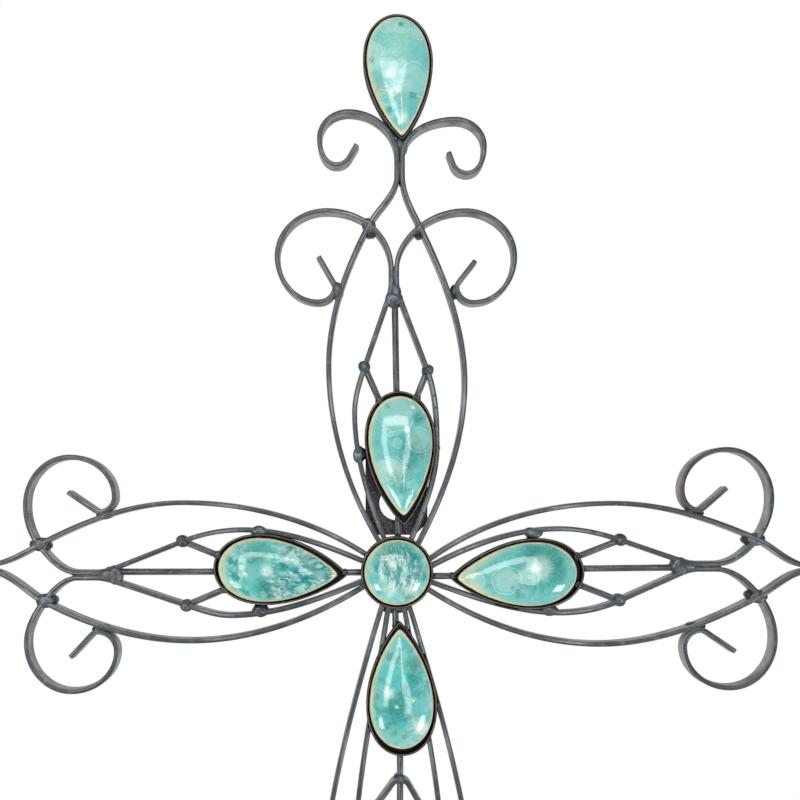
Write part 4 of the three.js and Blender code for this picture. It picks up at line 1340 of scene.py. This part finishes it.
# Cups and stones: their sides, how blunt their tips are, the places on a cup's rounded rim, and
# a stone's rings, its base as a share of its girdle, the base's edge in millimetres, and the last
# ring's share
CUP_SIDES = 160
STONE_SIDES = 160
STONE_BLUNT = 0.012
CUP_BLUNT = 0.003
RIM_STEPS = 5
STONE_RINGS = 40
BASE_SHARE = 0.985
BASE_EDGE = 0.3
LAST_RING = 0.01


def setting_outline(stone, place, play, end_play, around, blunt=0.0):
    """Outline of a drop, or of the round stone where there is no place, grown by the play."""
    if place is None:
        return heading(360 * (np.arange(around) + 0.5) / around) * (ROUND_STONE / 2 + play)
    return drop_outline(stone, place, play, end_play, around, blunt)


def cup_grid(stone, place, turn, rim):
    """A cup as one closed sheet: across its back, up the outer wall, over a rounded rim, down
    the inner wall and across the floor. Each ring is the stone's outline at its own play."""
    outer, inner = STONE_PLAY + CUP_WALL, STONE_PLAY
    arc = np.radians(np.linspace(0, 90, RIM_STEPS))
    rounded = [(outer - rim + rim * math.cos(a), CUP_FRONT + rim - rim * math.sin(a)) for a in arc]
    rolled = [(inner + rim - rim * math.sin(a), CUP_FRONT + rim - rim * math.cos(a)) for a in arc]
    floor = CUP_BACK - CUP_FLOOR
    profile = [(outer, CUP_BACK), *rounded, *rolled, (inner, floor)]
    end_play = stone.end_play if stone else 0
    rings = [standing(setting_outline(stone, place, play, end_play, CUP_SIDES, CUP_BLUNT), turn, y)
             for play, y in profile]
    return np.stack(rings)


def stone_grid(stone, place, turn):
    """A cabochon: rings drawn in from the stone's outline to its heart, r from 1 to 0, whose
    height is girdle + rise (1 - r^flatness)^roundness; below the girdle a straight side."""
    outline = setting_outline(stone, place, 0, 0, STONE_SIDES, STONE_BLUNT)
    heart = np.zeros(2)
    if place is not None:
        tip, lean, seat = place
        inset = stone.end_play + STONE_PLAY + CUP_WALL
        heart = np.array(tip) + [inset, 0] + heading(-lean) * stone.length * HEART
        outline, heart = outline + [seat, 0], heart + [seat, 0]
    girdle = CUP_FRONT + GIRDLE_BELOW_RIM
    rise = girdle - STONE_TOP
    r = np.sin(np.linspace(math.pi / 2, 0, STONE_RINGS))
    dome = girdle - rise * (1 - r ** DOME_FLATNESS) ** DOME_ROUNDNESS
    shares = np.concatenate([[BASE_SHARE, 1.0], r[:-1], [LAST_RING]])
    depth = np.concatenate([[STONE_BASE, STONE_BASE - BASE_EDGE], dome[:-1], [STONE_TOP]])
    flat = heart + (outline - heart) * shares[:, None, None]
    grid = standing(flat, turn, depth[:, None])
    u = np.broadcast_to((np.arange(STONE_SIDES) + 0.5) / STONE_SIDES, grid.shape[:2])
    v = np.broadcast_to(shares[:, None], grid.shape[:2])
    return grid, np.stack([u, v], -1)


def settings():
    """Every setting of the cross as (name, stone, place, turn)."""
    found = [("centre", None, None, 0)]
    for arm in ARMS:
        (stone, place), (end_stone, end_place) = arm_cups(arm)
        found.append((arm["name"], stone, place, arm["turn"]))
        found.append((f"{arm['name']}_end", end_stone, end_place, arm["turn"]))
    return found


class WALLCROSS_OT_form_cups(bpy.types.Operator):
    """Forms the nine bezel cups"""

    bl_idname = "wallcross.form_cups"
    bl_label = "Form Cups"

    def execute(self, context):
        sizes = millimetres(context)
        for name, stone, place, turn in settings():
            grid = cup_grid(stone, place, turn, sizes.rim_radius)
            share = np.arange(grid.shape[1]) / grid.shape[1]
            uv = np.stack(np.broadcast_arrays(share, np.arange(len(grid))[:, None]), -1)
            mesh = closed_mesh(f"{name}_cup_formed", [(grid, uv)], bezel_material())
            add_piece(mesh, [f"{name}_cup"])
        return {"FINISHED"}


class WALLCROSS_OT_glaze_stones(bpy.types.Operator):
    """Domes and glazes the nine stones"""

    bl_idname = "wallcross.glaze_stones"
    bl_label = "Glaze Stones"

    def execute(self, context):
        for name, stone, place, turn in settings():
            material = glaze_material(name, stone, place, turn)
            mesh = closed_mesh(f"{name}_stone_glazed", [stone_grid(stone, place, turn)], material)
            add_piece(mesh, [f"{name}_stone"])
        return {"FINISHED"}


# The hanger plate: its sides, its rings, its bevel, how many blows hammered it, how far each blow
# reaches, and their seed
PLATE_SIDES = 360
PLATE_RINGS = 60
PLATE_BEVEL = 0.4
BLOWS = 260
BLOW_REACH = 2.4
BLOW_SEED = 11


def plate_edge(hole, way):
    """How far the plate reaches from its hole each way, to the nearest of its straight sides. A
    side is an outward normal and its distance from the origin along that."""
    low_corner = (PLATE_RIGHT - PLATE_CHAMFER - PLATE_LOW) / math.sqrt(2)
    sides = [
        ((1, 0), PLATE_RIGHT),
        ((-1, 0), -PLATE_LEFT),
        ((0, 1), PLATE_TOP),
        ((0, -1), -PLATE_LOW),
        ((-1 / math.sqrt(2), -1 / math.sqrt(2)), low_corner),
        ((1 / math.sqrt(2), -1 / math.sqrt(2)), low_corner),
    ]
    far = np.full(len(way), np.inf)
    for normal, distance in sides:
        facing = way @ np.array(normal)
        room = distance - hole @ np.array(normal)
        ahead = facing > 1e-6
        far[ahead] = np.minimum(far[ahead], room / facing[ahead])
    return far


def hammered(points, depth):
    """Depth of a hammered face at points (x, z): each spot takes the nearest of the random blows,
    depth (1 - (distance / BLOW_REACH)^2), and is flat outside them."""
    rng = np.random.default_rng(BLOW_SEED)
    blows = rng.uniform((PLATE_LEFT, PLATE_LOW), (PLATE_RIGHT, PLATE_TOP), (BLOWS, 2))
    near = np.linalg.norm(points[..., None, :] - blows, axis=-1).min(axis=-1)
    return depth * np.clip(1 - (near / BLOW_REACH) ** 2, 0, 1)


def plate_grid(depth):
    """The plate as rings round its hole: over the hammered front from the hole to the edge, round
    the edge's bevel, and back across the flat back."""
    hole = np.array([0.0, CENTRE_UP + HOLE_UP])
    angle = turns(PLATE_SIDES, 0.5)
    way = np.stack([np.cos(angle), np.sin(angle)], -1)
    share = np.linspace(0, 1, PLATE_RINGS)[:, None]
    flat = plate_edge(hole, way) - HOLE_RADIUS - 2 * PLATE_BEVEL
    front = hole + (HOLE_RADIUS + PLATE_BEVEL + flat * share)[..., None] * way
    bevel = way * PLATE_BEVEL
    rings = [
        (front[0] - bevel, PLATE_FRONT + PLATE_BEVEL),
        *zip(front, PLATE_FRONT + hammered(front, depth)),
        (front[-1] + bevel, PLATE_FRONT + PLATE_BEVEL),
        (front[-1] + bevel, PLATE_BACK),
        *((ring, PLATE_BACK) for ring in front[::-1]),
        (front[0] - bevel, PLATE_BACK),
    ]
    return np.stack([
        np.stack([ring[:, 0], np.broadcast_to(y, PLATE_SIDES), ring[:, 1]], -1)
        for ring, y in rings])


class WALLCROSS_OT_hammer_plate(bpy.types.Operator):
    """Cuts and hammers the hanger plate"""

    bl_idname = "wallcross.hammer_plate"
    bl_label = "Hammer Plate"

    def execute(self, context):
        grid = plate_grid(millimetres(context).hammer_depth)
        uv = grid[..., [0, 2]] * MM
        mesh = closed_mesh("hanger_plate_hammered", [(grid, uv)], plate_material(), looped=True)
        add_piece(mesh, ["hanger_plate"])
        return {"FINISHED"}


# The photograph's view: the bars' front plane is this far from the camera, which looks
# straight at the wall from a little left of the cross's centre line. The sensor's width is its own
SENSOR_WIDTH = 36
VIEW_DISTANCE = 800
VIEW_FROM = (-19.7, -15)
VIEW_WIDTH = 508
VIEW_MIDDLE = (1.9, 48.5)

# The floor's disc, and the softboxes as (name, place in metres, width, height, power in watts):
# three panels that stand as an arch round the camera, and two low ones
FLOOR_BELOW = 30
FLOOR_RADIUS = 600
FLOOR_THICK = 20
FLOOR_SIDES = 96
SOFTBOXES = [
    ("upper_panel", (-0.24, -1.35, 0.56), 1.2, 0.34, 6.1),
    ("left_panel", (-0.68, -1.33, -0.02), 0.32, 0.8, 3.8),
    ("right_panel", (0.25, -1.33, -0.05), 0.22, 0.86, 2.8),
    ("left_softbox", (-0.95, -0.9, -0.85), 0.4, 0.4, 3.5),
    ("right_softbox", (0.95, -0.9, -0.8), 0.4, 0.4, 5),
]


class WALLCROSS_OT_set_stage(bpy.types.Operator):
    """Sets the floor, the soft lights and the camera"""

    bl_idname = "wallcross.set_stage"
    bl_label = "Set Stage"

    def execute(self, context):
        self.camera(context.scene)
        self.floor(context.scene)
        for softbox in SOFTBOXES:
            self.light(*softbox)
        self.world(context.scene)
        return {"FINISHED"}

    def camera(self, scene):
        """The photograph's camera, shifted rather than turned."""
        camera = bpy.data.cameras.new("camera")
        eye = bpy.data.objects.new("camera", camera)
        scene.collection.objects.link(eye)
        eye.location = (VIEW_FROM[0] * MM, (BAR_FRONT - VIEW_DISTANCE) * MM, VIEW_FROM[1] * MM)
        eye.rotation_euler = (math.pi / 2, 0, 0)
        camera.sensor_width = SENSOR_WIDTH
        camera.lens = SENSOR_WIDTH * VIEW_DISTANCE / VIEW_WIDTH
        camera.shift_x = (VIEW_MIDDLE[0] - VIEW_FROM[0]) / VIEW_WIDTH
        camera.shift_y = (VIEW_MIDDLE[1] - VIEW_FROM[1]) / VIEW_WIDTH
        scene.camera = eye
        scene.view_settings.view_transform = "Standard"

    def floor(self, scene):
        """A pale disc below the cross."""
        low = CAD_BOX[0].z / MM - FLOOR_BELOW
        angle = turns(FLOOR_SIDES)
        way = np.stack([np.cos(angle), np.sin(angle), np.zeros(FLOOR_SIDES)], -1)
        rim = way * FLOOR_RADIUS
        grid = np.stack([rim + [0, 0, low], rim + [0, 0, low - FLOOR_THICK]])
        mesh = closed_mesh("floor", [(grid, grid[..., :2])], floor_material())
        floor = bpy.data.objects.new("floor", mesh)
        scene.collection.objects.link(floor)

    def light(self, name, place, width, height, power):
        """A soft rectangular light that faces the cross's centre."""
        lamp = bpy.data.lights.new(name, "AREA")
        lamp.shape = "RECTANGLE"
        lamp.size, lamp.size_y = width, height
        lamp.energy = power
        held = bpy.data.objects.new(name, lamp)
        held.location = place
        aim = -held.location
        held.rotation_euler = aim.to_track_quat("-Z", "Y").to_euler()
        bpy.context.scene.collection.objects.link(held)

    def world(self, scene):
        """White to the camera. The light that falls on the cross comes from a softer white room:
        a quarter as bright on the camera's side, full at the sides, half behind the cross."""
        world = bpy.data.worlds.new("studio")
        scene.world = world
        world.use_nodes = True
        tree = world.node_tree
        behind = add(tree, "y", add(tree, "world way"))
        strength = add(
            tree, "times", add(tree, "ramp", behind, -0.9, 0.1, 0.25, 1.0),
            add(tree, "ramp", behind, 0.1, 0.6, 1.0, 0.5))
        white = linear("#ffffff")
        room = tree.nodes["Background"]
        fill(tree, room, {"Color": white, "Strength": strength})
        seen = add(tree, "background", white, 1.0)
        mixed = add(
            tree, "mixed shader", add(tree, "camera ray"), room.outputs["Background"], seen)
        fill(tree, tree.nodes["World Output"], {"Surface": mixed})


class WALLCROSS_PT_panel(bpy.types.Panel):
    """Sizes and steps of the wall cross"""

    bl_label = "Wall Cross"
    bl_idname = "WALLCROSS_PT_panel"
    bl_space_type = "VIEW_3D"
    bl_region_type = "UI"
    bl_category = "Wall Cross"

    def draw(self, context):
        for group in (context.scene.wall_cross_sizes, context.scene.wall_cross_colours):
            for key in group.__annotations__:
                self.layout.prop(group, key)
        for step in STEPS:
            self.layout.operator(step.bl_idname)


STEPS = [
    WALLCROSS_OT_hammer_plate,
    WALLCROSS_OT_bend_bars,
    WALLCROSS_OT_set_rods,
    WALLCROSS_OT_lay_welds,
    WALLCROSS_OT_form_cups,
    WALLCROSS_OT_glaze_stones,
    WALLCROSS_OT_set_stage,
]
CLASSES = [CrossSizes, CrossColours, *STEPS, WALLCROSS_PT_panel]


def register():
    for cls in CLASSES:
        bpy.utils.register_class(cls)
    bpy.types.Scene.wall_cross_sizes = PointerProperty(type=CrossSizes)
    bpy.types.Scene.wall_cross_colours = PointerProperty(type=CrossColours)


def unregister():
    del bpy.types.Scene.wall_cross_colours
    del bpy.types.Scene.wall_cross_sizes
    for cls in reversed(CLASSES):
        bpy.utils.unregister_class(cls)


def main():
    """Builds the cross step by step."""
    register()
    bpy.ops.wallcross.hammer_plate()
    bpy.ops.wallcross.bend_bars()
    bpy.ops.wallcross.set_rods()
    bpy.ops.wallcross.lay_welds()
    bpy.ops.wallcross.form_cups()
    bpy.ops.wallcross.glaze_stones()
    bpy.ops.wallcross.set_stage()


if __name__ == "__main__":
    main()
